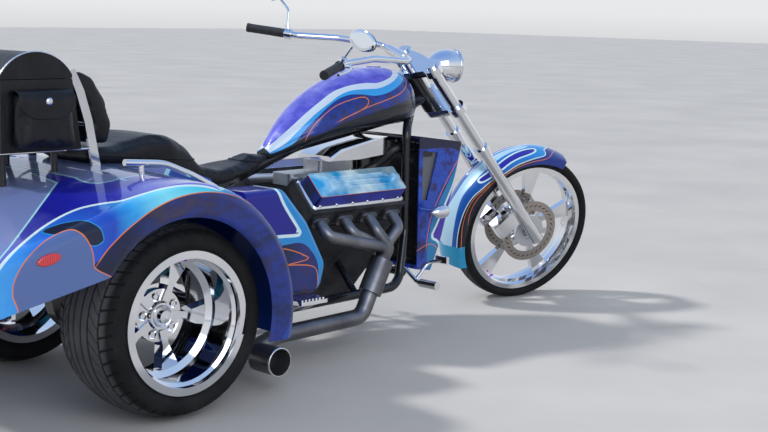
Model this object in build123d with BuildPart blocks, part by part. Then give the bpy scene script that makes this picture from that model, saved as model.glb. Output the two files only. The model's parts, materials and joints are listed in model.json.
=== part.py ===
"""A motorized trike: two wide driven wheels under a painted body, a raked fork with one steered
wheel, and an open V8 engine between them. Millimetres, +X forward, +Y left, +Z up.

Inside this file X = 0 is the rear axle and Z = 0 the ground. Each piece is moved back by ORIGIN_X
as it is finished, so that the origin of the trike lies on the ground below its middle."""

from build123d import *
from math import cos, radians, sin, sqrt, tan
import os

# Chassis and clearances
WHEELBASE = 2394.0
ORIGIN_BACK = 217.0
RAKE = 43.0
FORK_OFFSET = 60.0
STEER_SHOWN = -20.0
STEER_DROP = 2.8
PIN_GAP = 0.3
RUN_GAP = 6.0
SPOKES = 5
FLANGE_T = 8.0
RIM_WALL = 8.0

# Rear wheels: 17 inch rims under low tyres
REAR_TYRE_R = 325.0
REAR_TYRE_W = 305.0
REAR_WHEEL_Y = 477.0
REAR_RIM_W = 294.0
REAR_LIP_R = 235.5
REAR_SEAT_R = 218.0
REAR_RING_R = 184.0
REAR_HUB_R = 88.0
REAR_FACE_R = 44.0
REAR_CAP_R = 21.0
REAR_CAP_H = 26.0
LUG_CIRCLE_R = 65.0
LUG_POCKET_R = 16.0
LUG_POCKET_H = 20.0
LUG_NUT_R = 10.0
REAR_SPOKE_TURN = 24.0
AXLE_STUB_R = 20.0
AXLE_STUB_IN = 20.0

# Front wheel: 23 inch rim
FRONT_TYRE_R = 350.0
FRONT_TYRE_W = 130.0
FRONT_RIM_W = 104.0
FRONT_LIP_R = 302.0
FRONT_SEAT_R = 289.0
FRONT_RING_R = 268.0
FRONT_HUB_R = 44.0
FRONT_AXLE_R = 12.0
DISC_R = 146.0
DISC_BORE_R = 40.0
DISC_SEAT_R = 76.0
DISC_T = 5.0
DISC_Y = 76.0

# Fork, measured up its legs from the front axle
LEG_Y = 118.0
LEG_R = 24.0
SLIDER_R = 28.0
SLIDER_TOP = 562.0
SEAL_H = 34.0
LEG_TOP = 1078.0
LEG_FOOT = 36.0
LOWER_CLAMP = 800.0
UPPER_CLAMP = 1030.0
CLAMP_H = 34.0
CLAMP_WALL = 14.0
NECK_R = 34.0
STEM_R = 16.0
NUT_H = 12.0
CALIPER_L = 76.0

# Front fender, round a point a little behind and below the axle
FRONT_FENDER_GAP = 52.0
FRONT_FENDER_SHIFT = 12.0
FRONT_FENDER_HALF = 84.0
FRONT_FENDER_SKIRT = 62.0
FRONT_FENDER_WALL = 4.0
FRONT_FENDER_LOW = 178.0
FRONT_FENDER_TIP = 68.0
FRONT_FENDER_SWEEP = 140.0
FENDER_STAY_UP = 350.0

# Headlamp, bars and mirrors, drawn straight ahead; their places are measured back from the front axle
LAMP_R = 69.0
LAMP_L = 152.0
LAMP_BACK = 674.0
LAMP_Z = 1102.0
BAR_R = 14.0
GRIP_R = 18.0
RISER_Y = 46.0
RISER_H = 84.0
BAR_BEND = (1034.0, 160.0, 1164.0)
GRIP_IN = (1198.0, 214.0, 1154.0)
GRIP_OUT = (1352.0, 350.0, 1144.0)
LEVER_R = 5.5
PERCH_AT = 24.0
PERCH_L = 26.0
MIRROR = (1244.0, 400.0, 1296.0)
MIRROR_HALF = (76.0, 42.0)
MIRROR_T = 21.0

# Rear body
FENDER_X = -50.0
FENDER_Z = 340.0
FENDER_R = 445.0
ARCH_R = 326.0
FENDER_OUT_Y = 702.0
FENDER_IN_Y = 300.0
CENTRE_RISE = 13.0
ARC_END_IN = 100.0
ARC_END_OUT = 106.0
PANEL = 10.0
TAIL_X = -752.0
TAIL_LOW = 452.0
TAIL_LEAN = 15.0
TAIL_TUCK = 40.0
TAIL_EDGE_R = 40.0
SKIRT_LOW = 236.0
DECK_FRONT_X = 420.0
DECK_FRONT_Z = 640.0
COWL_Y = 398.0
COWL_IN_Y = 260.0
COWL_FRONT_X = 800.0
COWL_LOW = 292.0
COWL_TOP = 690.0
COWL_CORNER_R = 56.0
COWL_EDGE_R = 26.0

# Rear axle
AXLE_TUBE_R = 42.0
AXLE_END_R = 66.0
DIFF_R = 128.0
PINION_L = 110.0
PINION_R = 40.0
PINION_UP = 12.0

# Frame tubes
TUBE_R = 19.0
CROSS_R = 16.0
TAB_R = 10.0
RAIL_Y = 205.0
RAIL_Z = 200.0
RAIL_REAR_Y = 190.0
DOWN_TUBE_BACK = 916.0
DOWN_TUBE_Y = 150.0
BACKBONE_R = 25.0
STRUT_X = 90.0

# Engine
CRANK_Z = 400.0
BLOCK_REAR_X = 830.0
BLOCK_L = 520.0
BANK_ANGLE = 45.0
DECK = 225.0
BLOCK_W = 176.0
HEAD_H = 92.0
HEAD_W = 170.0
PORTS = (-0.37, -0.125, 0.125, 0.37)
PORT_FACE_T = 8.0
COVER_H = 66.0
COVER_SHORT = 36.0
COVER_W = 128.0
COVER_RAIL_T = 10.0
SUMP_LOW = 172.0
SUMP_TOP = 312.0
SUMP_HALF = 96.0
PLENUM_Z = 640.0
PLENUM_H = 46.0
PLENUM_L = 330.0
PLENUM_W = 120.0
RUNNER_R = 20.0
CARB_X = 90.0
CARB_L = 190.0
CARB_H = 42.0
SCOOP_HALF = 96.0
SCOOP_WALL = 4.0
SCOOP_EDGE_R = 14.0
COVER_FRONT_T = 26.0
BELT_X = 40.0
BELT_W = 14.0
PULLEY_W = 22.0
PULLEYS = ((0.0, -10.0, 78.0), (0.0, 150.0, 62.0), (-150.0, 215.0, 34.0))

# Gearbox
BELL_R = 172.0
BELL_L = 120.0
BOX_W = 210.0
BOX_REAR_X = 520.0
BOX_DROP = 25.0
TAIL_R = 56.0
TAIL_L = 90.0
SHAFT_R = 26.0

# Radiator, shroud and hoses
CORE_BACK = 834.0
CORE_T = 56.0
CORE_LOW = 300.0
CORE_HIGH = 770.0
TANK_T = 72.0
TANK_H = 54.0
FILLER_R = 22.0
SHROUD_Y = 200.0
SHROUD_WALL = 5.0
SHROUD_EDGE_R = 22.0
HOSE_R = 19.0

# Exhausts
HEADER_R = 23.0
HEADER_OUT = 70.0
FLANGE_T_EX = 9.0
MERGE_X = 1170.0
MERGE_Z = 345.0
MERGE_R = 46.0
PIPE_R = 32.0
PIPE_Y = 322.0
PIPE_Z = 140.0
OUTLET_X = 444.0
OUTLET_Y = 556.0
OUTLET_Z = 111.0
TIP_R = 50.0
TIP_WALL = 2.5
TIP_L = 110.0

# Tank, as shares of its length from the seat end: ridge, widest line, lower edge, half width
TANK_REAR_X = 836.0
TANK_FRONT_BACK = 782.0
TANK_STATIONS = (
    (0.0, 786.0, 772.0, 756.0, 40.0),
    (0.16, 918.0, 835.0, 788.0, 92.0),
    (0.376, 1022.0, 905.0, 838.0, 142.0),
    (0.6, 1082.0, 950.0, 858.0, 166.0),
    (0.8, 1091.0, 968.0, 868.0, 164.0),
    (0.92, 1064.0, 962.0, 872.0, 124.0),
    (1.0, 1000.0, 946.0, 882.0, 62.0),
)
TANK_CAP_R = 30.0
TANK_CAP_TOP = 1097.0

# Seat and luggage
SEAT_TOP = ((-70, 800), (-70, 838), (70, 838), (190, 869), (290, 862), (372, 815), (452, 742), (560, 716))
SEAT_NOSE = ((690, 738), (800, 786), (826, 776), (700, 700), (560, 666), (432, 664), (432, 640), (424, 640))
SEAT_PLAN = ((-70, 165), (60, 176), (300, 172), (450, 128), (640, 118), (826, 46))
PLATE_Y = 198.0
PLATE_T = 10.0
RACK_BAR_R = 8.0
PAD_SIDE = ((-66, 876), (16, 858), (30, 926), (4, 1010), (-44, 1084), (-92, 1110), (-130, 1100))
PAD_HALF = 168.0
PAD_EDGE_R = 14.0
TRUNK_REAR_X = -440.0
TRUNK_FRONT_X = -150.0
TRUNK_LEAN = 32.0
TRUNK_HALF = 250.0
TRUNK_LOW = 862.0
TRUNK_SPLIT = 1090.0
TRUNK_TOP = 1176.0
TRUNK_WALL = 9.0
GROOVE_W = 14.0
GROOVE_T = 3.0
LID_GAP = 2.0
LID_SIDE = 14.0
RACK_T = 12.0
KNUCKLES = (50.0, 170.0)
KNUCKLE_L = 30.0
KNUCKLE_GAP = 1.0
HINGE_R = 6.0
HINGE_PIN_R = 2.5
LEAF_T = 4.0
LEAF_H = 26.0
POUCH_T = 66.0
POUCH_EDGE_R = 16.0

# Rails, steps, controls and lamps
GRAB_Y = 452.0
GRAB_R = 11.0
GRAB_LINE = ((-124, 834), (30, 822), (140, 778), (250, 722), (296, 610))
STEP_Z = 284.0
STEP_T = 14.0
STEP_REAR_X = 576.0
STEP_L = 134.0
STEP_IN_Y = 404.0
STEP_OUT_Y = 520.0
STEP_RIBS = 7
PEG_BACK = 950.0
PEG_Z = 226.0
PEG_R = 17.0
SIDE_LAMP = (-558.0, 606.0)
SIDE_LAMP_HALF = (40.0, 17.0)
SIDE_LAMP_PROUD = 6.0
TAIL_LAMP_Z = 590.0
PLATE_HOLDER_Z = 540.0
SIGNAL_BACK = 834.0
SIGNAL_Y = 268.0
SIGNAL_Z = 508.0
SIGNAL_L = 96.0

ORIGIN_X = WHEELBASE / 2 - ORIGIN_BACK
FRONT_AXLE_Z = FRONT_TYRE_R - STEER_DROP
RAKE_SIN, RAKE_COS = sin(radians(RAKE)), cos(radians(RAKE))
FORK = Plane((WHEELBASE, 0, FRONT_AXLE_Z), x_dir=(RAKE_COS, 0, RAKE_SIN), z_dir=(-RAKE_SIN, 0, RAKE_COS))
STEER = Plane(FORK.from_local_coords((-FORK_OFFSET, 0, 0)), x_dir=FORK.x_dir, z_dir=FORK.z_dir)
STEER_AXIS = Axis(STEER.origin, STEER.z_dir)
SIDES = ((-1, "right"), (1, "left"))
finished = {}


def keep(builder, name, steered=False):
    """Name a finished piece and put it in its place. A steered piece is turned with the fork."""
    solid = builder.part
    if steered:
        solid = solid.rotate(STEER_AXIS, STEER_SHOWN)
    solid = solid.moved(Location((-ORIGIN_X, 0, 0)))
    solid.label = name
    finished[name] = solid


def tube(points, radius, bends=0):
    """A round bar along straight runs with rounded corners, added to the part being built."""
    with BuildLine(mode=Mode.PRIVATE) as path:
        if len(points) > 2:
            FilletPolyline(*points, radius=bends)
        else:
            Line(*points)
    with BuildSketch(Plane(path.line @ 0, z_dir=path.line % 0)) as section:
        Circle(radius)
    sweep(section.sketch, path=path.line)


def behind(points):
    """The same points, measured back from the front axle instead of forward from the rear one."""
    return [(WHEELBASE - x, y, z) for x, y, z in points]


def mirrored(points, side):
    """The same points on the right (side -1) or on the left (side 1)."""
    return [(x, side * y, z) for x, y, z in points]


def side_plane(y):
    """The upright plane along the trike at that Y: local X forward, local Y up."""
    return Plane((0, y, 0), x_dir=(1, 0, 0), z_dir=(0, -1, 0))


def radial_plane(x, y, z, side):
    """A plane through a wheel's axle: local X is the radius upward, local Y points to that side."""
    return Plane((x, y, z), x_dir=(0, 0, 1), z_dir=(-side, 0, 0))


def turned(points, plane, mode=Mode.ADD):
    """Revolve a closed outline of (radius, across) points about the plane's Y."""
    with BuildSketch(plane) as outline:
        Polygon(*points, align=None)
    revolve(outline.sketch, axis=Axis(plane.origin, plane.y_dir), mode=mode)


def outer_edges(builder, side):
    """The part's edges that lie farthest out on that side."""
    return builder.edges().group_by(Axis.Y)[-1 if side > 0 else 0]


def tyre_ring(plane, radius, width, seat_r, bead, lip_r):
    """A tyre's ring: beads on the rim's seats, round sidewalls and a nearly flat tread."""
    half = width / 2
    shoulder_r, shoulder = radius - 0.075 * width, 0.42 * width
    bulge_r = lip_r + 0.4 * (radius - lip_r)
    with BuildSketch(plane) as outline:
        with BuildLine():
            Line((seat_r, -bead), (seat_r, bead))
            Line((seat_r, bead), (lip_r, bead))
            ThreePointArc((lip_r, bead), (bulge_r, half), (shoulder_r, shoulder))
            ThreePointArc((shoulder_r, shoulder), (radius, 0), (shoulder_r, -shoulder))
            ThreePointArc((shoulder_r, -shoulder), (bulge_r, -half), (lip_r, -bead))
            Line((lip_r, -bead), (seat_r, -bead))
        make_face()
    revolve(outline.sketch, axis=Axis(plane.origin, plane.y_dir))


def spokes_on(plane, root_r, tip_r, root_half, waist_half, tip_half, depth, draft, turn=0):
    """The wheel's spokes: narrow at the hub, flaring where they join the rim."""
    waist_r = root_r + 0.4 * (tip_r - root_r)
    outline = [
        (root_r, -root_half),
        (waist_r, -waist_half),
        (tip_r, -tip_half),
        (tip_r, tip_half),
        (waist_r, waist_half),
        (root_r, root_half),
    ]
    with BuildSketch(plane) as outlines:
        with PolarLocations(0, SPOKES, turn):
            Polygon(*outline, align=None)
    extrude(outlines.sketch, amount=depth, taper=draft)


# Rear tyres and rims: a deep dish with a thin inner hoop, a lugged hub and a pointed cap
rear_half = REAR_RIM_W / 2
rear_bead = rear_half - FLANGE_T
rear_inner = REAR_SEAT_R - RIM_WALL
hub_back, hub_face = -0.45 * rear_half, -0.1 * rear_half
for side, side_name in SIDES:
    mid = radial_plane(0, side * REAR_WHEEL_Y, REAR_TYRE_R, side)
    face = Plane((0, side * REAR_WHEEL_Y, REAR_TYRE_R), x_dir=(0, 0, 1), z_dir=(0, side, 0))

    with BuildPart() as rear_tyre:
        tyre_ring(mid, REAR_TYRE_R, REAR_TYRE_W, REAR_SEAT_R + PIN_GAP, rear_bead, REAR_LIP_R + 4)
    keep(rear_tyre, f"rear_tyre_{side_name}")

    with BuildPart() as rear_rim:
        turned(
            [
                (REAR_SEAT_R, -rear_bead),
                (REAR_LIP_R, -rear_bead),
                (REAR_LIP_R, -rear_half),
                (rear_inner, -rear_half),
                (rear_inner, -0.36 * rear_half),
                (REAR_RING_R, -0.3 * rear_half),
                (REAR_RING_R, -0.05 * rear_half),
                (rear_inner - 4, 0.03 * rear_half),
                (rear_inner - 4, 0.66 * rear_half),
                (rear_inner - 12, 0.7 * rear_half),
                (rear_inner - 12, 0.8 * rear_half),
                (rear_inner, 0.85 * rear_half),
                (rear_inner, rear_half),
                (REAR_LIP_R, rear_half),
                (REAR_LIP_R, rear_bead),
                (REAR_SEAT_R, rear_bead),
            ],
            mid,
        )
        turned(
            [
                (0, hub_back),
                (REAR_HUB_R - 20, hub_back),
                (REAR_HUB_R, hub_face - 30),
                (REAR_HUB_R, hub_face),
                (REAR_FACE_R + 4, hub_face),
                (REAR_FACE_R, hub_face + 18),
                (REAR_FACE_R - 6, hub_face + 18),
                (REAR_CAP_R + 8, hub_face + 12),
                (REAR_CAP_R, hub_face + 12 + REAR_CAP_H),
                (0, hub_face + 14 + REAR_CAP_H),
            ],
            mid,
        )
        spokes_on(
            face.offset(-0.3 * rear_half),
            REAR_FACE_R,
            REAR_RING_R + 6,
            20,
            17,
            42,
            0.26 * rear_half,
            8,
            side * REAR_SPOKE_TURN,
        )
        with BuildSketch(face.offset(hub_face)):
            with PolarLocations(LUG_CIRCLE_R, SPOKES, side * REAR_SPOKE_TURN + 180 / SPOKES):
                Circle(LUG_POCKET_R)
        extrude(amount=-LUG_POCKET_H, mode=Mode.SUBTRACT)
        with BuildSketch(face.offset(hub_face - LUG_POCKET_H)):
            with PolarLocations(LUG_CIRCLE_R, SPOKES, side * REAR_SPOKE_TURN + 180 / SPOKES):
                RegularPolygon(LUG_NUT_R, 6)
        extrude(amount=LUG_POCKET_H + 2)
        with BuildSketch(face.offset(hub_back)):
            Circle(AXLE_STUB_R + PIN_GAP)
        extrude(amount=hub_face - hub_back - AXLE_STUB_IN + RUN_GAP, mode=Mode.SUBTRACT)
    keep(rear_rim, f"rear_rim_{side_name}")

# Front wheel: tyre, rim with flared spokes, and two brake discs on its hub
front_mid = radial_plane(WHEELBASE, 0, FRONT_AXLE_Z, 1)
front_face = Plane((WHEELBASE, 0, FRONT_AXLE_Z), x_dir=(0, 0, 1), z_dir=(0, 1, 0))
front_half = FRONT_RIM_W / 2
front_bead = front_half - FLANGE_T
front_inner = FRONT_SEAT_R - RIM_WALL
hub_end = DISC_Y - DISC_T / 2

with BuildPart() as front_tyre:
    tyre_ring(
        front_mid, FRONT_TYRE_R, FRONT_TYRE_W, FRONT_SEAT_R + PIN_GAP, front_bead, FRONT_LIP_R + 3
    )
keep(front_tyre, "front_tyre", steered=True)

with BuildPart() as front_rim:
    turned(
        [
            (FRONT_SEAT_R, -front_bead),
            (FRONT_LIP_R, -front_bead),
            (FRONT_LIP_R, -front_half),
            (front_inner, -front_half),
            (front_inner - 4, -0.6 * front_half),
            (FRONT_RING_R, -0.3 * front_half),
            (FRONT_RING_R, 0.3 * front_half),
            (front_inner - 4, 0.6 * front_half),
            (front_inner, front_half),
            (FRONT_LIP_R, front_half),
            (FRONT_LIP_R, front_bead),
            (FRONT_SEAT_R, front_bead),
        ],
        front_mid,
    )
    spokes_on(front_face.offset(-15), FRONT_HUB_R - 8, FRONT_RING_R + 4, 15, 14, 42, 30, 4)
    turned(
        [
            (0, -hub_end),
            (DISC_SEAT_R, -hub_end),
            (DISC_SEAT_R, 9 - hub_end),
            (FRONT_HUB_R, 26 - hub_end),
            (FRONT_HUB_R, hub_end - 26),
            (DISC_SEAT_R, hub_end - 9),
            (DISC_SEAT_R, hub_end),
            (0, hub_end),
        ],
        front_mid,
    )
    with BuildSketch(front_face):
        Circle(FRONT_AXLE_R + PIN_GAP)
    extrude(amount=hub_end, both=True, mode=Mode.SUBTRACT)
keep(front_rim, "front_rim", steered=True)

with BuildPart() as front_discs:
    for side, _ in SIDES:
        with BuildSketch(front_face.offset(side * DISC_Y - DISC_T / 2)):
            Circle(DISC_R)
            Circle(0.7 * DISC_R, mode=Mode.SUBTRACT)
            Circle(DISC_SEAT_R)
            with PolarLocations(0.6 * DISC_R, SPOKES, 90):
                Rectangle(0.3 * DISC_R, 26)
            Circle(DISC_BORE_R, mode=Mode.SUBTRACT)
        extrude(amount=DISC_T)
keep(front_discs, "front_discs", steered=True)


# Fork: two legs with the axle through their feet, clamps with the steering stem, brakes
def at_legs(up, radius):
    """A circle at each fork leg, that far up the legs."""
    with BuildSketch(FORK.offset(up)) as circles:
        with Locations((0, -LEG_Y), (0, LEG_Y)):
            Circle(radius)
    return circles.sketch


def clamp_outline(up):
    """A triple clamp's outline across the fork, that far up the legs."""
    with BuildSketch(FORK.offset(up)) as outline:
        with Locations((0, -LEG_Y), (0, LEG_Y)):
            Circle(LEG_R + CLAMP_WALL)
        with Locations((-FORK_OFFSET, 0)):
            Circle(NECK_R)
        Polygon(
            (LEG_R, -LEG_Y),
            (LEG_R + 8, 0),
            (LEG_R, LEG_Y),
            (-LEG_R, LEG_Y),
            (-FORK_OFFSET - 0.8 * NECK_R, 0.6 * NECK_R),
            (-FORK_OFFSET - 0.8 * NECK_R, -0.6 * NECK_R),
            (-LEG_R, -LEG_Y),
            align=None,
        )
    return outline.sketch


with BuildPart() as fork_legs:
    extrude(at_legs(-LEG_FOOT, SLIDER_R), amount=SLIDER_TOP + LEG_FOOT)
    extrude(at_legs(SLIDER_TOP, LEG_R), amount=LEG_TOP - SLIDER_TOP)
    extrude(at_legs(SLIDER_TOP - SEAL_H / 2, SLIDER_R + 5), amount=SEAL_H)
    with BuildSketch(front_face):
        Circle(FRONT_AXLE_R)
    extrude(amount=LEG_Y, both=True)
keep(fork_legs, "fork_legs", steered=True)

with BuildPart() as triple_clamps:
    for up in (LOWER_CLAMP, UPPER_CLAMP):
        extrude(clamp_outline(up), amount=CLAMP_H)
    with BuildSketch(STEER.offset(LOWER_CLAMP)):
        Circle(STEM_R)
    extrude(amount=UPPER_CLAMP + CLAMP_H - LOWER_CLAMP)
    with BuildSketch(STEER.offset(UPPER_CLAMP + CLAMP_H)):
        RegularPolygon(STEM_R + 8, 6)
    extrude(amount=NUT_H)
    extrude(at_legs(LOWER_CLAMP, LEG_R), amount=UPPER_CLAMP + CLAMP_H - LOWER_CLAMP, mode=Mode.SUBTRACT)
keep(triple_clamps, "triple_clamps", steered=True)

# Calipers behind the legs, with a slot for the disc
with BuildPart() as front_calipers:
    for side, _ in SIDES:
        with BuildSketch(FORK.offset(0.66 * DISC_R)):
            with Locations((-0.62 * DISC_R, side * (DISC_Y + 4))):
                RectangleRounded(96, 62, 10)
            with Locations((-0.2 * DISC_R, side * (DISC_Y + 24))):
                Rectangle(0.3 * DISC_R, 22)
        extrude(amount=CALIPER_L)
    for side, _ in SIDES:
        with BuildSketch(front_face.offset(side * DISC_Y - DISC_T / 2 - RUN_GAP)):
            Circle(DISC_R + RUN_GAP)
        extrude(amount=DISC_T + 2 * RUN_GAP, mode=Mode.SUBTRACT)
    extrude(at_legs(-LEG_FOOT, SLIDER_R), amount=SLIDER_TOP, mode=Mode.SUBTRACT)
keep(front_calipers, "front_calipers", steered=True)

# Front fender: a crowned sheet with skirts, from just ahead of the top to low behind the wheel
front_fender_r = FRONT_TYRE_R + FRONT_FENDER_GAP
fender_mid = (WHEELBASE - FRONT_FENDER_SHIFT, FRONT_AXLE_Z - FRONT_FENDER_SHIFT)


def hoop_plane(angle):
    """A plane through the fender's middle along Y: local X points out at that angle above forward."""
    turn = radians(angle)
    return Plane(
        (fender_mid[0], 0, fender_mid[1]), x_dir=(cos(turn), 0, sin(turn)), z_dir=(-sin(turn), 0, cos(turn))
    )


def crowned(plane, radius, half_width, skirt, sweep_angle, mode=Mode.ADD):
    """A solid hoop round the plane's Y, crowned across, swept on from the plane."""
    edge = radius - 0.3 * half_width
    with BuildSketch(plane) as outline:
        with BuildLine():
            Line((radius - skirt, -half_width), (edge, -half_width))
            ThreePointArc((edge, -half_width), (radius, 0), (edge, half_width))
            Line((edge, half_width), (radius - skirt, half_width))
            Line((radius - skirt, half_width), (radius - skirt, -half_width))
        make_face()
    revolve(outline.sketch, axis=Axis(plane.origin, (0, -1, 0)), revolution_arc=sweep_angle, mode=mode)


with BuildPart() as front_fender:
    crowned(
        hoop_plane(FRONT_FENDER_TIP),
        front_fender_r,
        FRONT_FENDER_HALF,
        FRONT_FENDER_SKIRT,
        FRONT_FENDER_SWEEP,
    )
    for side, _ in SIDES:
        with BuildSketch(FORK.offset(FENDER_STAY_UP)):
            with Locations((0, side * (FRONT_FENDER_HALF + LEG_Y) / 2)):
                Rectangle(36, LEG_Y - FRONT_FENDER_HALF)
        extrude(amount=44)
    crowned(
        hoop_plane(FRONT_FENDER_TIP - 4),
        front_fender_r - FRONT_FENDER_WALL,
        FRONT_FENDER_HALF - FRONT_FENDER_WALL,
        FRONT_FENDER_SKIRT + 20,
        FRONT_FENDER_SWEEP + 14,
        mode=Mode.SUBTRACT,
    )
    with BuildSketch(Plane.XY):
        with Locations((fender_mid[0] - front_fender_r, 0)):
            Rectangle(front_fender_r, 4 * FRONT_FENDER_HALF)
    extrude(amount=FRONT_FENDER_LOW, mode=Mode.SUBTRACT)
    extrude(at_legs(-LEG_FOOT, SLIDER_R), amount=SLIDER_TOP, mode=Mode.SUBTRACT)
keep(front_fender, "front_fender", steered=True)

# Headlamp: a chromed bullet on a stalk from the upper clamp
lamp_x = WHEELBASE - LAMP_BACK
lamp_plane = Plane((lamp_x, 0, LAMP_Z), x_dir=(0, 0, 1), z_dir=(0, 1, 0))
with BuildPart() as headlamp:
    with BuildSketch(lamp_plane):
        with BuildLine():
            Line((0, 0), (0, LAMP_L + 8))
            ThreePointArc((0, LAMP_L + 8), (0.6 * LAMP_R, LAMP_L + 3), (LAMP_R - 6, LAMP_L - 8))
            Line((LAMP_R - 6, LAMP_L - 8), (LAMP_R, LAMP_L - 10))
            Line((LAMP_R, LAMP_L - 10), (LAMP_R, 0.8 * LAMP_L))
            ThreePointArc((LAMP_R, 0.8 * LAMP_L), (0.74 * LAMP_R, 0.25 * LAMP_L), (12, 0))
            Line((12, 0), (0, 0))
        make_face()
    revolve(axis=Axis(lamp_plane.origin, lamp_plane.y_dir))
    stalk_end = Vector(lamp_x + 0.35 * LAMP_L, 0, LAMP_Z + 10)
    tube([FORK.from_local_coords((LEG_R, 0, UPPER_CLAMP + 8)), stalk_end], 13)
    extrude(clamp_outline(UPPER_CLAMP), amount=CLAMP_H, mode=Mode.SUBTRACT)
keep(headlamp, "headlamp", steered=True)

# Handlebar on two risers, pulled back to the rider
bar_mid = STEER.from_local_coords((0, 0, UPPER_CLAMP + CLAMP_H + RISER_H))
bar_half = [
    (bar_mid.X, 0, bar_mid.Z),
    (bar_mid.X - 8, BAR_BEND[1] - 28, bar_mid.Z + 4),
    *behind([BAR_BEND, GRIP_IN, GRIP_OUT]),
]
with BuildPart() as handlebar:
    for side, _ in SIDES:
        tube(mirrored(bar_half, side), BAR_R, [50, 120, 60])
    with BuildSketch(STEER.offset(UPPER_CLAMP + CLAMP_H)):
        with Locations((0, -RISER_Y), (0, RISER_Y)):
            Circle(BAR_R + 2)
    extrude(amount=RISER_H)
    clamp_half = RISER_Y + BAR_R + 8
    tube([(bar_mid.X, -clamp_half, bar_mid.Z), (bar_mid.X, clamp_half, bar_mid.Z)], BAR_R + 8)
keep(handlebar, "handlebar", steered=True)


def grip_line(side):
    """The grip end of the bar on one side: where it starts, its direction and its length."""
    start, end = [Vector(*point) for point in mirrored(behind([GRIP_IN, GRIP_OUT]), side)]
    return start, (end - start).normalized(), (end - start).length


def disc_on(point, along, radius, length, bore=0):
    """A round bar or ring of that length from a point along a direction."""
    with BuildSketch(Plane(point, z_dir=along)) as ring:
        Circle(radius)
        if bore:
            Circle(bore, mode=Mode.SUBTRACT)
    extrude(ring.sketch, amount=length)


with BuildPart() as grips:
    for side, _ in SIDES:
        start, along, length = grip_line(side)
        sleeve_at = PERCH_AT + PERCH_L + RUN_GAP
        disc_on(start + along * sleeve_at, along, GRIP_R, length - sleeve_at, bore=BAR_R)
        disc_on(start + along * length, along, GRIP_R + 1, 10)
keep(grips, "grips", steered=True)

with BuildPart() as hand_levers:
    for side, _ in SIDES:
        start, along, length = grip_line(side)
        perch = start + along * (PERCH_AT + PERCH_L / 2)
        pivot = perch + Vector(34, side * 30, 4)
        disc_on(start + along * PERCH_AT, along, BAR_R + 8, PERCH_L)
        tube([perch, pivot], 9)
        tube([pivot, pivot + along * 60 + Vector(8, side * 8, 0), pivot + along * 150], LEVER_R, 40)
        tube([perch, perch + Vector(0, side * 18, 36)], 12)
    for side, _ in SIDES:
        start, along, length = grip_line(side)
        with BuildSketch(Plane(start, z_dir=along)):
            Circle(BAR_R)
        extrude(amount=length, mode=Mode.SUBTRACT)
keep(hand_levers, "hand_levers", steered=True)

# Mirrors on short stems from the lever perches
with BuildPart() as mirrors:
    for side, _ in SIDES:
        centre = Vector(*mirrored(behind([MIRROR]), side)[0])
        looking = Plane(centre, x_dir=(0.2 * side, 1, 0), z_dir=(-1, side * 0.25, 0.12))
        with BuildSketch(looking.offset(-5)):
            Ellipse(*MIRROR_HALF)
        with BuildSketch(looking.offset(-5 - MIRROR_T)):
            Ellipse(0.63 * MIRROR_HALF[0], 0.57 * MIRROR_HALF[1])
        loft()
        start, along, length = grip_line(side)
        top = start + along * (PERCH_AT + PERCH_L / 2) + Vector(0, side * 18, 36)
        tube([top, top + Vector(10, side * 30, 56), centre + Vector(14, 0, -4)], LEVER_R, 30)
    add(hand_levers.part, mode=Mode.SUBTRACT)
keep(mirrors, "mirrors", steered=True)


# Rear body: a centre tub and two fenders, thin moulded panels open below
def on_arch(radius, angle):
    """A point round the wheel arch's middle, at that angle above forward."""
    turn = radians(angle)
    return (FENDER_X + radius * cos(turn), FENDER_Z + radius * sin(turn))


def at_height(radius, z):
    """Where the circle round the wheel arch's middle comes down to that height in front."""
    return (FENDER_X + sqrt(radius**2 - (FENDER_Z - z) ** 2), z)


def tail_point(radius, end_angle, x):
    """The point at x on the straight line that leaves the circle at the end angle."""
    start_x, start_z = on_arch(radius, end_angle)
    return (x, start_z - (x - start_x) / tan(radians(end_angle)))


def fender_face(y, radius, end_angle, tail_x):
    """A fender's side outline at one Y: over the wheel, out to the tail and round the arch."""
    foot = at_height(radius, SKIRT_LOW)
    arch_end = on_arch(ARCH_R, 143)
    with BuildSketch(side_plane(y)) as face:
        with BuildLine():
            ThreePointArc(foot, on_arch(radius, 45), on_arch(radius, end_angle))
            Line(on_arch(radius, end_angle), tail_point(radius, end_angle, tail_x))
            Line(tail_point(radius, end_angle, tail_x), (tail_x - TAIL_LEAN, TAIL_LOW))
            Line((tail_x - TAIL_LEAN, TAIL_LOW), arch_end)
            ThreePointArc(arch_end, on_arch(ARCH_R, 60), at_height(ARCH_R, SKIRT_LOW))
            Line(at_height(ARCH_R, SKIRT_LOW), foot)
        make_face()
    return face.sketch


def cavity_face(y, radius, end_angle, tail_x):
    """The same outline inside the panel, running out below."""
    low = SKIRT_LOW - 60
    with BuildSketch(side_plane(y)) as face:
        with BuildLine():
            ThreePointArc(at_height(radius, low), on_arch(radius, 45), on_arch(radius, end_angle))
            Line(on_arch(radius, end_angle), tail_point(radius, end_angle, tail_x))
            Line(tail_point(radius, end_angle, tail_x), (tail_x - TAIL_LEAN, low))
            Line((tail_x - TAIL_LEAN, low), at_height(radius, low))
        make_face()
    return face.sketch


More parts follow.
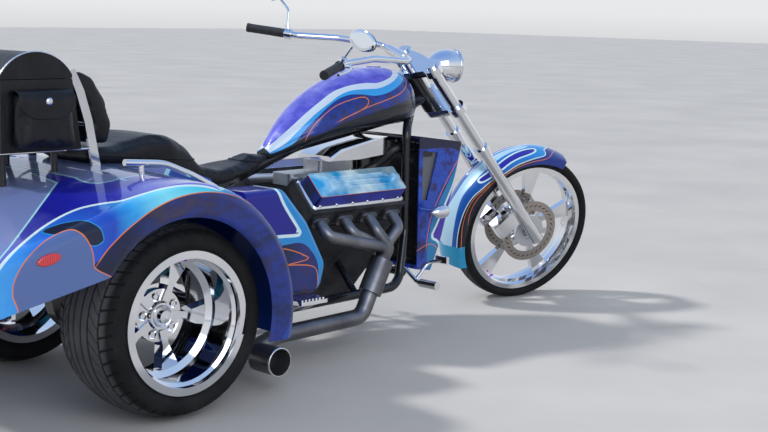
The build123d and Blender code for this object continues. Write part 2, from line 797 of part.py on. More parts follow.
deck_r = FENDER_R + CENTRE_RISE
fender_forms = {}
for side, side_name in SIDES:
    inner_y, outer_y = side * FENDER_IN_Y, side * FENDER_OUT_Y
    with BuildPart() as cavity:
        inside = [
            cavity_face(inner_y, deck_r - PANEL, ARC_END_IN, TAIL_X + PANEL),
            cavity_face(outer_y - side * PANEL, FENDER_R - PANEL, ARC_END_OUT, TAIL_X + TAIL_TUCK + PANEL),
        ]
        loft(inside, ruled=True)
        fillet(outer_edges(cavity, side).sort_by(Axis.Z)[-3:], TAIL_EDGE_R - PANEL)
    with BuildPart() as form:
        outside = [
            fender_face(inner_y, deck_r, ARC_END_IN, TAIL_X),
            fender_face(outer_y, FENDER_R, ARC_END_OUT, TAIL_X + TAIL_TUCK),
        ]
        loft(outside, ruled=True)
        fillet(outer_edges(form, side).sort_by(Axis.Z)[-3:], TAIL_EDGE_R)
    fender_forms[side] = form.part
    with BuildPart() as fender:
        add(form.part)
        add(cavity.part, mode=Mode.SUBTRACT)
    keep(fender, f"fender_{side_name}")

# Centre tub: its sides are the wheel wells' inner walls, its top carries seat and luggage
deck_outline = [
    (DECK_FRONT_X, TAIL_LOW),
    (DECK_FRONT_X, DECK_FRONT_Z),
    (DECK_FRONT_X - 80, DECK_FRONT_Z + 95),
    (DECK_FRONT_X - 220, DECK_FRONT_Z + 145),
    on_arch(deck_r, 90),
    on_arch(deck_r, ARC_END_IN),
    tail_point(deck_r, ARC_END_IN, TAIL_X),
    (TAIL_X - TAIL_LEAN, TAIL_LOW),
]
with BuildPart() as tub_form:
    with BuildSketch(side_plane(0)):
        Polygon(*deck_outline, align=None)
    extrude(amount=FENDER_IN_Y, both=True)
with BuildPart() as body_centre:
    add(tub_form.part)
    with BuildSketch(side_plane(0)):
        Polygon(*deck_outline, align=None)
        offset(amount=-PANEL, kind=Kind.INTERSECTION)
        with Locations(((DECK_FRONT_X + TAIL_X) / 2, TAIL_LOW)):
            Rectangle(DECK_FRONT_X - TAIL_X - 4 * PANEL, 4 * PANEL)
    extrude(amount=FENDER_IN_Y - PANEL, both=True, mode=Mode.SUBTRACT)
keep(body_centre, "body_centre")

# Side cowls: bulged panels between the rear body and the engine
with BuildPart() as side_cowls:
    for side, _ in SIDES:
        with BuildSketch(side_plane(side * COWL_IN_Y)) as cowl:
            Polygon(
                (DECK_FRONT_X, COWL_LOW),
                (COWL_FRONT_X - 16, COWL_LOW),
                (COWL_FRONT_X + 10, COWL_LOW + 108),
                (COWL_FRONT_X - 82, COWL_LOW + 268),
                (COWL_FRONT_X - 200, COWL_TOP),
                (DECK_FRONT_X, COWL_TOP),
                align=None,
            )
            fillet(cowl.vertices().sort_by(Axis.X)[2:], COWL_CORNER_R)
        extrude(cowl.sketch, amount=-side * (COWL_Y - COWL_IN_Y))
        fillet(outer_edges(side_cowls, side).sort_by(Axis.X)[1:], COWL_EDGE_R)
        with BuildSketch(side_plane(side * COWL_IN_Y)) as hollow:
            add(cowl.sketch)
            offset(amount=-PANEL, kind=Kind.INTERSECTION)
        extrude(hollow.sketch, amount=-side * (COWL_Y - COWL_IN_Y - PANEL), mode=Mode.SUBTRACT)
keep(side_cowls, "side_cowls")

# Rear axle: a tube with the final drive in its middle, a flange and a stub at each end
axle_end = REAR_WHEEL_Y + hub_back - RUN_GAP
stub_end = REAR_WHEEL_Y + hub_face - AXLE_STUB_IN
axle_half = [
    (AXLE_END_R, axle_end),
    (AXLE_END_R, axle_end - 14),
    (AXLE_TUBE_R, axle_end - 24),
    (AXLE_TUBE_R, 0.75 * DIFF_R),
    (0.8 * DIFF_R, 0.45 * DIFF_R),
    (DIFF_R, 0.2 * DIFF_R),
]
with BuildPart() as rear_axle:
    turned(
        [(0, axle_end), *axle_half, *[(radius, -y) for radius, y in reversed(axle_half)], (0, -axle_end)],
        radial_plane(0, 0, REAR_TYRE_R, 1),
    )
    tube([(0, -stub_end, REAR_TYRE_R), (0, stub_end, REAR_TYRE_R)], AXLE_STUB_R)
    with BuildSketch(Plane((0.6 * DIFF_R, 0, REAR_TYRE_R + 8), z_dir=(1, 0, 0))):
        Circle(1.55 * PINION_R)
    with BuildSketch(Plane((DIFF_R + PINION_L, 0, REAR_TYRE_R + PINION_UP), z_dir=(1, 0, 0))):
        Circle(PINION_R)
    loft()
keep(rear_axle, "rear_axle")

# Engine: a V8's block with both heads and its sump
engine_mid = BLOCK_REAR_X + BLOCK_L / 2
engine_front = BLOCK_REAR_X + BLOCK_L
lean_sin, lean_cos = sin(radians(BANK_ANGLE)), cos(radians(BANK_ANGLE))
bank = {
    side: Plane((engine_mid, 0, CRANK_Z), x_dir=(1, 0, 0), z_dir=(0, side * lean_sin, lean_cos))
    for side, _ in SIDES
}
deck_low = (DECK * lean_sin + BLOCK_W / 2 * lean_cos, CRANK_Z + DECK * lean_cos - BLOCK_W / 2 * lean_sin)
deck_high = (DECK * lean_sin - BLOCK_W / 2 * lean_cos, CRANK_Z + DECK * lean_cos + BLOCK_W / 2 * lean_sin)


def port_at(side, port, out, proud=0):
    """A port's middle on a head: its exhaust face (out 1) or its intake face (out -1)."""
    across = out * side * (HEAD_W / 2 + proud)
    return bank[side].from_local_coords((port * BLOCK_L, across, DECK + 0.5 * HEAD_H))


with BuildPart() as engine_block:
    with BuildSketch(Plane.YZ.offset(BLOCK_REAR_X)):
        Polygon(
            (SUMP_HALF, SUMP_TOP),
            (SUMP_HALF + 34, CRANK_Z - 10),
            deck_low,
            deck_high,
            (0, deck_high[1] - 78),
            (-deck_high[0], deck_high[1]),
            (-deck_low[0], deck_low[1]),
            (-SUMP_HALF - 34, CRANK_Z - 10),
            (-SUMP_HALF, SUMP_TOP),
            align=None,
        )
    extrude(amount=BLOCK_L)
    for side, _ in SIDES:
        with BuildSketch(bank[side].offset(DECK)):
            Rectangle(BLOCK_L - 20, HEAD_W)
        extrude(amount=HEAD_H)
        for port in PORTS:
            with BuildSketch(Plane(port_at(side, port, 1), x_dir=(1, 0, 0), z_dir=bank[side].y_dir * side)):
                RectangleRounded(92, 58, 12)
            extrude(amount=PORT_FACE_T)
    with BuildSketch(Plane.XY.offset(SUMP_TOP)):
        with Locations((engine_mid, 0)):
            Rectangle(BLOCK_L, 2 * SUMP_HALF)
    with BuildSketch(Plane.XY.offset(SUMP_LOW)):
        with Locations((engine_mid - 0.08 * BLOCK_L, 0)):
            Rectangle(0.66 * BLOCK_L, 1.6 * SUMP_HALF)
    loft()
keep(engine_block, "engine_block")

cover_l = BLOCK_L - COVER_SHORT
with BuildPart() as valve_covers:
    for side, _ in SIDES:
        with BuildSketch(bank[side].offset(DECK + HEAD_H)):
            RectangleRounded(cover_l, COVER_W + 18, 14)
        extrude(amount=COVER_RAIL_T)
        with BuildSketch(bank[side].offset(DECK + HEAD_H + COVER_RAIL_T)):
            RectangleRounded(cover_l - 12, COVER_W, 14)
        extrude(amount=COVER_H - COVER_RAIL_T, taper=9)
        top = bank[side].offset(DECK + HEAD_H + COVER_H)
        with BuildSketch(top):
            with GridLocations(0, 26, 1, 3):
                RectangleRounded(0.6 * cover_l, 9, 4)
        extrude(amount=5)
        with BuildSketch(top):
            with Locations((0.4 * cover_l, 0)):
                Circle(20)
        extrude(amount=14)
keep(valve_covers, "valve_covers")

# Intake: a plenum with eight runners and the carburettor's base
with BuildPart() as intake_manifold:
    with BuildSketch(Plane.XY.offset(PLENUM_Z)):
        with Locations((engine_mid, 0)):
            RectangleRounded(PLENUM_L, PLENUM_W, 20)
    extrude(amount=PLENUM_H)
    for side, _ in SIDES:
        for port in PORTS:
            foot = port_at(side, port, -1)
            start = Vector(engine_mid + 0.62 * port * BLOCK_L, side * 30, PLENUM_Z + 0.45 * PLENUM_H)
            tube([start, foot + (foot - start).normalized() * 24], RUNNER_R)
    with BuildSketch(Plane.XY.offset(PLENUM_Z + PLENUM_H)):
        with Locations((engine_mid + CARB_X, 0)):
            RectangleRounded(CARB_L, PLENUM_W - 10, 16)
    extrude(amount=CARB_H)
    add(engine_block.part, mode=Mode.SUBTRACT)
keep(intake_manifold, "intake_manifold")

# Air scoop: a wedge over the carburettor with an open mouth towards the front
scoop_x, scoop_z = engine_mid + CARB_X, PLENUM_Z + PLENUM_H + CARB_H
scoop_profile = [
    (scoop_x - 78, scoop_z),
    (scoop_x + 82, scoop_z),
    (scoop_x + 242, scoop_z + 14),
    (scoop_x + 250, scoop_z + 84),
    (scoop_x + 130, scoop_z + 78),
    (scoop_x - 20, scoop_z + 50),
    (scoop_x - 78, scoop_z + 20),
]
with BuildPart() as air_scoop:
    with BuildSketch(side_plane(0)) as profile:
        Polygon(*scoop_profile, align=None)
    extrude(amount=SCOOP_HALF, both=True)
    for side, _ in SIDES:
        rims = outer_edges(air_scoop, side).filter_by(Axis.X, reverse=True)
        fillet(rims.sort_by(Axis.Z)[-4:-1], SCOOP_EDGE_R)
    with BuildSketch(side_plane(0)):
        Polygon(
            (scoop_x + 60, scoop_z + 12),
            (scoop_x + 300, scoop_z + 24),
            (scoop_x + 300, scoop_z + 78),
            (scoop_x + 130, scoop_z + 66),
            (scoop_x + 60, scoop_z + 50),
            align=None,
        )
    extrude(amount=SCOOP_HALF - 3 * SCOOP_WALL, both=True, mode=Mode.SUBTRACT)
keep(air_scoop, "air_scoop")

# Front of the engine: timing cover, pulleys and belt
pulleys = [(y, CRANK_Z + z, radius) for y, z, radius in PULLEYS]
crank, pump, generator = pulleys
with BuildPart() as front_drive:
    with BuildSketch(Plane.YZ.offset(engine_front)):
        Polygon(
            (-0.9 * SUMP_HALF, SUMP_TOP),
            (0.9 * SUMP_HALF, SUMP_TOP),
            (SUMP_HALF, CRANK_Z + 40),
            (0.55 * SUMP_HALF, CRANK_Z + 190),
            (-0.55 * SUMP_HALF, CRANK_Z + 190),
            (-SUMP_HALF, CRANK_Z + 40),
            align=None,
        )
    extrude(amount=COVER_FRONT_T)
    for y, z, radius in pulleys:
        with BuildSketch(Plane.YZ.offset(engine_front)):
            with Locations((y, z)):
                Circle(0.4 * radius)
        extrude(amount=BELT_X + BELT_W / 2)
        with BuildSketch(Plane.YZ.offset(engine_front + BELT_X - (PULLEY_W - BELT_W) / 2)):
            with Locations((y, z)):
                Circle(radius)
        extrude(amount=PULLEY_W)
        with BuildSketch(Plane.YZ.offset(engine_front + BELT_X + 2)):
            with Locations((y, z)):
                Circle(radius - 5)
                Circle(radius - 17, mode=Mode.SUBTRACT)
        extrude(amount=PULLEY_W, mode=Mode.SUBTRACT)
    with BuildSketch(Plane.YZ.offset(engine_front + BELT_X)):
        Polygon(
            (-crank[2], crank[1]),
            (crank[2], crank[1]),
            (pump[2], pump[1]),
            (generator[0] + 6, generator[1] + generator[2]),
            (generator[0] - generator[2], generator[1]),
            align=None,
        )
        offset(amount=-6, kind=Kind.INTERSECTION, mode=Mode.SUBTRACT)
    extrude(amount=BELT_W)
    with BuildSketch(Plane.YZ.offset(engine_front)):
        with Locations((generator[0], generator[1])):
            Circle(54)
    extrude(amount=COVER_FRONT_T + 2)
    add(engine_block.part, mode=Mode.SUBTRACT)
keep(front_drive, "front_drive")

# Gearbox: bell housing, case and the shaft to the final drive
bell_end = BLOCK_REAR_X - BELL_L
tail_z = CRANK_Z - BOX_DROP - 15
with BuildPart() as gearbox:
    with BuildSketch(Plane.YZ.offset(BLOCK_REAR_X)):
        with Locations((0, CRANK_Z)):
            Circle(BELL_R)
    with BuildSketch(Plane.YZ.offset(bell_end)):
        with Locations((0, CRANK_Z - 10)):
            Circle(0.68 * BELL_R)
    loft()
    with BuildSketch(Plane.YZ.offset(BOX_REAR_X)):
        with Locations((0, CRANK_Z - BOX_DROP)):
            RectangleRounded(BOX_W, BOX_W, 24)
    extrude(amount=bell_end - BOX_REAR_X)
    with BuildSketch(Plane.YZ.offset(BOX_REAR_X - TAIL_L)):
        with Locations((0, tail_z)):
            Circle(TAIL_R)
    extrude(amount=TAIL_L)
    tube([(BOX_REAR_X - TAIL_L, 0, tail_z), (DIFF_R + PINION_L, 0, REAR_TYRE_R + PINION_UP)], SHAFT_R)
    add(rear_axle.part, mode=Mode.SUBTRACT)
keep(gearbox, "gearbox")

# Radiator: a finned core between two tanks as wide as the shroud inside
core_x = WHEELBASE - CORE_BACK
core_half = SHROUD_Y - SHROUD_WALL
with BuildPart() as radiator:
    with BuildSketch(Plane.XY.offset(CORE_LOW)):
        with Locations((core_x, 0)):
            Rectangle(CORE_T, 2 * core_half - 16)
    extrude(amount=CORE_HIGH - CORE_LOW)
    for z in (CORE_LOW - 14, CORE_HIGH + 14 - TANK_H):
        with BuildSketch(Plane.XY.offset(z)):
            with Locations((core_x, 0)):
                RectangleRounded(TANK_T, 2 * core_half, 10)
        extrude(amount=TANK_H)
    with BuildSketch(Plane.XY.offset(CORE_HIGH + 14)):
        with Locations((core_x, 0.6 * core_half)):
            Circle(FILLER_R)
    extrude(amount=22)
keep(radiator, "radiator")

# Frame: neck, backbone, down tubes, lower rails, cross tubes, struts and tabs, welded
down_x = WHEELBASE - DOWN_TUBE_BACK
neck_low, neck_high = LOWER_CLAMP + CLAMP_H + LID_GAP, UPPER_CLAMP - LID_GAP
neck_mid = STEER.from_local_coords((0, 0, (neck_low + neck_high) / 2 - 30))
hoop_x = DECK_FRONT_X + 80
backbone = [
    neck_mid,
    (down_x + 62, 0, 880),
    (1000, 0, 792),
    (hoop_x + 120, 0, 660),
    (hoop_x, 0, 606),
    (DECK_FRONT_X - PANEL / 2, 0, 606),
]
rail = [
    (down_x + 142, 34, 912),
    (down_x, DOWN_TUBE_Y, 846),
    (down_x, DOWN_TUBE_Y, 420),
    (down_x - 88, RAIL_Y, RAIL_Z + 8),
    (640, RAIL_Y, RAIL_Z - 6),
    (260, RAIL_REAR_Y, 262),
    (0, RAIL_REAR_Y, REAR_TYRE_R),
]
strut_low = REAR_TYRE_R - (REAR_TYRE_R - 262) * STRUT_X / 260
with BuildPart() as frame:
    with BuildSketch(STEER.offset(neck_low)):
        Circle(NECK_R)
    extrude(amount=neck_high - neck_low)
    tube(backbone, BACKBONE_R, [120, 400, 300, 80])
    for side, _ in SIDES:
        tube(mirrored(rail, side), TUBE_R, [60, 90, 90, 200, 200])
        tube(mirrored([(hoop_x, 0, 608), (hoop_x, 150, 560), (hoop_x, RAIL_Y, RAIL_Z)], side), CROSS_R, 60)
        tube(mirrored([(STRUT_X, RAIL_REAR_Y, strut_low), (STRUT_X, RAIL_REAR_Y, 786)], side), CROSS_R)
        tube(mirrored([(1150, RAIL_Y, RAIL_Z + 2), (1150, SUMP_HALF - 10, 330)], side), 14)
        tube(mirrored([(down_x - 58, 140, 262), (core_x, 140, CORE_LOW + 12)], side), TAB_R)
        tab_z = CORE_HIGH - 13
        tube(mirrored([(down_x, DOWN_TUBE_Y, tab_z), (core_x, DOWN_TUBE_Y, tab_z)], side), TAB_R)
    for x, z in ((down_x - 58, 262), (hoop_x + 60, RAIL_Z)):
        tube([(x, -RAIL_Y, z), (x, RAIL_Y, z)], CROSS_R)
    with BuildSketch(STEER.offset(neck_low)):
        Circle(STEM_R + PIN_GAP)
    extrude(amount=neck_high - neck_low, mode=Mode.SUBTRACT)
    with BuildSketch(STEER.offset(neck_low - 60)):
        Circle(NECK_R + 60)
    extrude(amount=60, mode=Mode.SUBTRACT)
    for other in (rear_axle, engine_block, gearbox, radiator, body_centre):
        add(other.part, mode=Mode.SUBTRACT)
keep(frame, "frame")

# Shroud: a painted sheet round the radiator, open behind and in front, with side windows
shroud_x = core_x - 55
shroud_outline = [
    (shroud_x, 262),
    (shroud_x + 82, 250),
    (shroud_x + 181, 454),
    (shroud_x + 227, 600),
    (shroud_x + 263, 738),
    (shroud_x + 261, 782),
    (shroud_x, 817),
]
with BuildPart() as radiator_shroud:
    with BuildSketch(side_plane(0)) as shroud:
        Polygon(*shroud_outline, align=None)
    extrude(amount=SHROUD_Y, both=True)
    rims = radiator_shroud.edges().filter_by(lambda edge: abs(edge.center().Y) > 1).sort_by(Axis.X)
    fillet(rims[-6:-2], SHROUD_EDGE_R)
    with BuildSketch(side_plane(0)):
        add(shroud.sketch)
        offset(amount=-SHROUD_WALL, kind=Kind.INTERSECTION)
        with Locations((shroud_x, 540)):
            Rectangle(8 * SHROUD_WALL, 520)
    extrude(amount=SHROUD_Y - SHROUD_WALL, both=True, mode=Mode.SUBTRACT)
    with BuildSketch(side_plane(0)):
        Polygon(
            (shroud_x + 22, 756),
            (shroud_x + 112, 744),
            (shroud_x + 52, 548),
            (shroud_x + 22, 552),
            align=None,
        )
    extrude(amount=2 * SHROUD_Y, both=True, mode=Mode.SUBTRACT)
    with BuildSketch(Plane.YZ.offset(core_x)):
        with Locations((0, 530)):
            RectangleRounded(2 * SHROUD_Y - 96, 380, 60)
    extrude(amount=260, mode=Mode.SUBTRACT)
    add(radiator.part, mode=Mode.SUBTRACT)
keep(radiator_shroud, "radiator_shroud")

# Coolant hoses from the engine to the radiator's tanks
top_hose = [
    (engine_front - 40, 0, 640),
    (engine_front + 60, -40, 690),
    (core_x - 100, -100, CORE_HIGH - 8),
    (core_x, -120, CORE_HIGH - 8),
]
low_hose = [
    (engine_front, 66, CRANK_Z + 30),
    (engine_front + 92, 88, CRANK_Z),
    (core_x - 104, 96, CORE_LOW + 12),
    (core_x, 96, CORE_LOW + 12),
]
with BuildPart() as coolant_hoses:
    for route in (top_hose, low_hose):
        tube(route, HOSE_R, [40, 40])
    for other in (radiator, engine_block, front_drive, frame):
        add(other.part, mode=Mode.SUBTRACT)
keep(coolant_hoses, "coolant_hoses")

# Exhausts: four headers merge into a slanted cone, then a pipe under the step to a side outlet
for side, side_name in SIDES:
    out = bank[side].y_dir * side
    with BuildPart() as exhaust:
        for number, port in enumerate(PORTS):
            start = port_at(side, port, 1, PORT_FACE_T)
            knee = Vector(MERGE_X + 30 * port + 24, side * (PIPE_Y + 16 * (-1) ** number), MERGE_Z + 62)
            merge = Vector(MERGE_X + 20 * port, side * PIPE_Y, MERGE_Z)
            tube([start, start + out * HEADER_OUT, knee, merge], HEADER_R, [36, 30])
            with BuildSketch(Plane(start, x_dir=(1, 0, 0), z_dir=out)):
                SlotOverall(84, 2 * HEADER_R + 4)
            extrude(amount=FLANGE_T_EX)
        cone = mirrored([(MERGE_X + 6, PIPE_Y, MERGE_Z + 14), (MERGE_X - 60, PIPE_Y, MERGE_Z - 110)], side)
        tube(cone, MERGE_R)
        route = [
            (MERGE_X - 50, PIPE_Y, MERGE_Z - 92),
            (MERGE_X - 104, PIPE_Y, PIPE_Z + 6),
            (OUTLET_X + 190, PIPE_Y, PIPE_Z - 4),
            (OUTLET_X, PIPE_Y + 70, OUTLET_Z + 8),
            (OUTLET_X, OUTLET_Y - 0.6 * TIP_L, OUTLET_Z),
        ]
        tube(mirrored(route, side), PIPE_R, [60, 200, 80])
        outlet = Plane((OUTLET_X, side * (OUTLET_Y - TIP_L), OUTLET_Z), z_dir=(0, side, 0))
        with BuildSketch(outlet):
            Circle(TIP_R)
        extrude(amount=TIP_L)
        with BuildSketch(outlet.offset(6)):
            Circle(TIP_R - TIP_WALL)
        extrude(amount=TIP_L, mode=Mode.SUBTRACT)
    keep(exhaust, f"exhaust_{side_name}")

# Fuel tank: a long teardrop, hollowed below for the backbone
tank_l = WHEELBASE - TANK_FRONT_BACK - TANK_REAR_X
with BuildPart() as fuel_tank:
    for share, ridge, waist, low, half_width in TANK_STATIONS:
        shoulder, foot = 0.71 * half_width, 0.7 * half_width
        upper, lower = waist + 0.72 * (ridge - waist), low + 0.3 * (waist - low)
        with BuildSketch(Plane.YZ.offset(TANK_REAR_X + share * tank_l)):
            with BuildLine():
                ThreePointArc((-half_width, waist), (-shoulder, upper), (0, ridge))
                ThreePointArc((0, ridge), (shoulder, upper), (half_width, waist))
                ThreePointArc((half_width, waist), (0.93 * half_width, lower), (foot, low))
                Line((foot, low), (-foot, low))
                ThreePointArc((-foot, low), (-0.93 * half_width, lower), (-half_width, waist))
            make_face()
    loft()
    with BuildSketch(Plane.XY.offset(TANK_CAP_TOP)):
        with Locations((TANK_REAR_X + 0.76 * tank_l, 0)):
            Circle(TANK_CAP_R)
    extrude(amount=-50)
    add(frame.part, mode=Mode.SUBTRACT)
keep(fuel_tank, "fuel_tank")

# Seat: a stepped two-up saddle on the tub and backbone
with BuildPart() as seat:
    with BuildSketch(side_plane(0)):
        Polygon(*SEAT_TOP, *SEAT_NOSE, align=None)
    extrude(amount=TRUNK_HALF, both=True)
    with BuildSketch(Plane.XY.offset(DECK_FRONT_Z - 40)):
        Polygon(*[(x, -y) for x, y in SEAT_PLAN], *reversed(SEAT_PLAN), align=None)
    extrude(amount=300, mode=Mode.INTERSECT)
    for other in (frame, tub_form, fuel_tank):
        add(other.part, mode=Mode.SUBTRACT)
keep(seat, "seat")

# Luggage rack: a slotted tray on legs, with two upright plates that hold the backrest
trunk_mid = (TRUNK_REAR_X + TRUNK_FRONT_X) / 2
trunk_l = TRUNK_FRONT_X - TRUNK_REAR_X
rack_z = TRUNK_LOW - RACK_T / 2
with BuildPart() as luggage_rack:
    with BuildSketch(Plane.XY.offset(TRUNK_LOW - RACK_T)):
        with Locations((trunk_mid, 0)):
            RectangleRounded(trunk_l - 10, 2 * PLATE_Y - 20, 20)
            with GridLocations(60, 0, 4, 1):
                SlotOverall(260, 26, rotation=90, mode=Mode.SUBTRACT)
    extrude(amount=RACK_T)
    for x in (TRUNK_REAR_X + 60, TRUNK_FRONT_X - 40):
        for y in (-150, 150):
            tube([(x, y, rack_z), (x, y, 620)], 11)
    for side, _ in SIDES:
        with BuildSketch(side_plane(side * PLATE_Y)):
            Polygon(
                (-78, 700),
                (-42, 700),
                (-44, 790),
                (-76, 950),
                (-107, 1050),
                (-142, 1120),
                (-166, 1112),
                (-136, 1040),
                (-106, 945),
                (-74, 780),
                align=None,
            )
        extrude(amount=PLATE_T / 2, both=True)
        stay = [(-200, 140, rack_z), (-120, PLATE_Y, rack_z), (-80, PLATE_Y, rack_z)]
        tube(mirrored(stay, side), RACK_T / 2 - 1, 12)
    tube([(-92, -PLATE_Y, 936), (-92, PLATE_Y, 936)], RACK_BAR_R)
    add(tub_form.part, mode=Mode.SUBTRACT)
keep(luggage_rack, "luggage_rack")

# Backrest pad, leaning on the cross tube between the plates
with BuildPart() as backrest_pad:
    with BuildSketch(side_plane(0)):
        Polygon(*PAD_SIDE, align=None)
    extrude(amount=PAD_HALF, both=True)
    fillet(backrest_pad.edges().filter_by(Axis.Y, reverse=True), PAD_EDGE_R)
    add(luggage_rack.part, mode=Mode.SUBTRACT)
keep(backrest_pad, "backrest_pad")

# Trunk: a hollow leather-covered box with an arched lid, hinged along its left edge. A groove in
# its floor runs round the raised mat that luggage stands on
split_l = trunk_l - TRUNK_LEAN
hinge_y, hinge_z = TRUNK_HALF + HINGE_R, TRUNK_SPLIT + LID_GAP / 2
trunk_side = [
    (TRUNK_REAR_X, TRUNK_LOW),
    (TRUNK_FRONT_X, TRUNK_LOW),
    (TRUNK_FRONT_X - TRUNK_LEAN, TRUNK_SPLIT),
    (TRUNK_REAR_X, TRUNK_SPLIT),
]


def knuckle(x, up):
    """Half a hinge from x on: a barrel with its leaf up on the lid (1) or down on the box (-1)."""
    with BuildSketch(Plane.YZ.offset(x)) as outline:
        with Locations((hinge_y, hinge_z)):
            Circle(HINGE_R)
        with Locations((TRUNK_HALF + LEAF_T / 2, hinge_z + up * (LEAF_H / 2 + LID_GAP / 2))):
            Rectangle(LEAF_T, LEAF_H)
    extrude(outline.sketch, amount=KNUCKLE_L)


def hinge_rod(x, radius, length, mode):
    """A round bar on the hinge's line, added as the pin or cut as its hole."""
    with BuildSketch(Plane.YZ.offset(x)) as outline:
        with Locations((hinge_y, hinge_z)):
            Circle(radius)
    extrude(outline.sketch, amount=length, mode=mode)


def lid_face(inset, low):
    """The lid's arched side outline, drawn in by a wall."""
    rear, front = TRUNK_REAR_X + inset, TRUNK_REAR_X + split_l - inset
    with BuildSketch(side_plane(0)) as face:
        with BuildLine():
            Line((rear, low), (front, low))
            Line((front, low), (front, TRUNK_SPLIT + LID_SIDE))
            ThreePointArc(
                (front, TRUNK_SPLIT + LID_SIDE),
                ((rear + front) / 2, TRUNK_TOP - inset),
                (rear, TRUNK_SPLIT + LID_SIDE),
            )
            Line((rear, TRUNK_SPLIT + LID_SIDE), (rear, low))
        make_face()
    return face.sketch


with BuildPart() as trunk_box:
    with BuildSketch(side_plane(0)):
        Polygon(*trunk_side, align=None)
    extrude(amount=TRUNK_HALF, both=True)
    with BuildSketch(side_plane(0)):
        Polygon(*trunk_side, align=None)
        offset(amount=-TRUNK_WALL, kind=Kind.INTERSECTION)
        with Locations((TRUNK_REAR_X + split_l / 2, TRUNK_SPLIT)):
            Rectangle(split_l - 2 * TRUNK_WALL, 4 * TRUNK_WALL)
    extrude(amount=TRUNK_HALF - TRUNK_WALL, both=True, mode=Mode.SUBTRACT)
    with BuildSketch(Plane.XY.offset(TRUNK_LOW + TRUNK_WALL)):
        with Locations((TRUNK_REAR_X + split_l / 2, 0)):
            Rectangle(split_l - 2 * TRUNK_WALL, 2 * (TRUNK_HALF - TRUNK_WALL))
            mat_l, mat_w = split_l - 2 * (TRUNK_WALL + GROOVE_W), 2 * (TRUNK_HALF - TRUNK_WALL - GROOVE_W)
            Rectangle(mat_l, mat_w, mode=Mode.SUBTRACT)
    extrude(amount=-GROOVE_T, mode=Mode.SUBTRACT)
    for start in KNUCKLES:
        knuckle(TRUNK_REAR_X + start, -1)
        hinge_rod(TRUNK_REAR_X + start, HINGE_PIN_R, 2 * KNUCKLE_L + KNUCKLE_GAP, Mode.ADD)
keep(trunk_box, "trunk_box")

with BuildPart() as trunk_lid:
    extrude(lid_face(0, TRUNK_SPLIT + LID_GAP), amount=TRUNK_HALF, both=True)
    inner_face = lid_face(TRUNK_WALL, TRUNK_SPLIT - 4 * TRUNK_WALL)
    extrude(inner_face, amount=TRUNK_HALF - TRUNK_WALL, both=True, mode=Mode.SUBTRACT)
    for start in KNUCKLES:
        knuckle(TRUNK_REAR_X + start + KNUCKLE_L + KNUCKLE_GAP, 1)
        hinge_rod(TRUNK_REAR_X + start, HINGE_PIN_R + PIN_GAP, 3 * KNUCKLE_L, Mode.SUBTRACT)
keep(trunk_lid, "trunk_lid")

# Pouches on the trunk's ends, flat to it
with BuildPart() as pouches:
    for side, _ in SIDES:
        with BuildSketch(side_plane(side * TRUNK_HALF)) as pouch:
            Polygon(
                (TRUNK_REAR_X + 30, TRUNK_LOW + 16),
                (TRUNK_FRONT_X - 54, TRUNK_LOW + 12),
                (TRUNK_FRONT_X - 70, TRUNK_SPLIT - 34),
                (TRUNK_REAR_X + 34, TRUNK_SPLIT - 38),
                align=None,
            )
            fillet(pouch.vertices(), 18)
        extrude(pouch.sketch, amount=-side * POUCH_T)
        fillet(outer_edges(pouches, side), POUCH_EDGE_R)
keep(pouches, "pouches")

# Grab rails over the fenders, beside the seat
with BuildPart() as grab_rails:
    for side, _ in SIDES:
        tube(mirrored([(x, GRAB_Y, z) for x, z in GRAB_LINE], side), GRAB_R, [200, 200, 40])
        tube(mirrored([(-60, GRAB_Y, 828), (-52, GRAB_Y, 700)], side), GRAB_R - 2)
    for side, _ in SIDES:
        add(fender_forms[side], mode=Mode.SUBTRACT)
keep(grab_rails, "grab_rails")

# Steps for the passenger's feet, hung from the lower rails
step_mid = STEP_REAR_X + STEP_L / 2
step_w = STEP_OUT_Y - STEP_IN_Y
with BuildPart() as floorboards:
    for side, _ in SIDES:
        mid_y = side * (STEP_IN_Y + step_w / 2)
        with BuildSketch(Plane.XY.offset(STEP_Z)):
            with Locations((step_mid, mid_y)):
                RectangleRounded(STEP_L, step_w, 16)
        extrude(amount=STEP_T)
        with BuildSketch(Plane.XY.offset(STEP_Z + STEP_T)):
            with Locations((step_mid, mid_y)):
                with GridLocations(STEP_L / (STEP_RIBS + 1), 0, STEP_RIBS, 1):
                    Rectangle(8, step_w - 30)
        extrude(amount=4)
        for x in (STEP_REAR_X + 30, STEP_REAR_X + STEP_L - 30):
            hanger = [(x, STEP_OUT_Y - 40, STEP_Z - 2), (x, STEP_IN_Y, 246), (x, RAIL_Y, RAIL_Z + 10)]
            tube(mirrored(hanger, side), 10, 40)
    add(frame.part, mode=Mode.SUBTRACT)
keep(floorboards, "floorboards")

# Forward foot controls: pegs and pedals on the front of the rails
peg_x = WHEELBASE - PEG_BACK
with BuildPart() as foot_controls:
    for side, _ in SIDES:
        arm = [(peg_x, 150, PEG_Z + 74), (peg_x, 262, PEG_Z), (peg_x, 372, PEG_Z)]
        tube(mirrored(arm, side), 9, 40)
        disc_on(Vector(peg_x, side * 282, PEG_Z), (0, side, 0), PEG_R, 92)
        pedal = [(peg_x, 252, PEG_Z + 6), (peg_x + 70, 256, PEG_Z + 74), (peg_x + 92, 330, PEG_Z + 92)]
        tube(mirrored(pedal, side), 7, 40)
        with BuildSketch(Plane((peg_x + 90, side * 284, PEG_Z + 90), z_dir=(0, side, 0))):
            RectangleRounded(30, 16, 5)
        extrude(amount=62)
    add(frame.part, mode=Mode.SUBTRACT)
keep(foot_controls, "foot_controls")

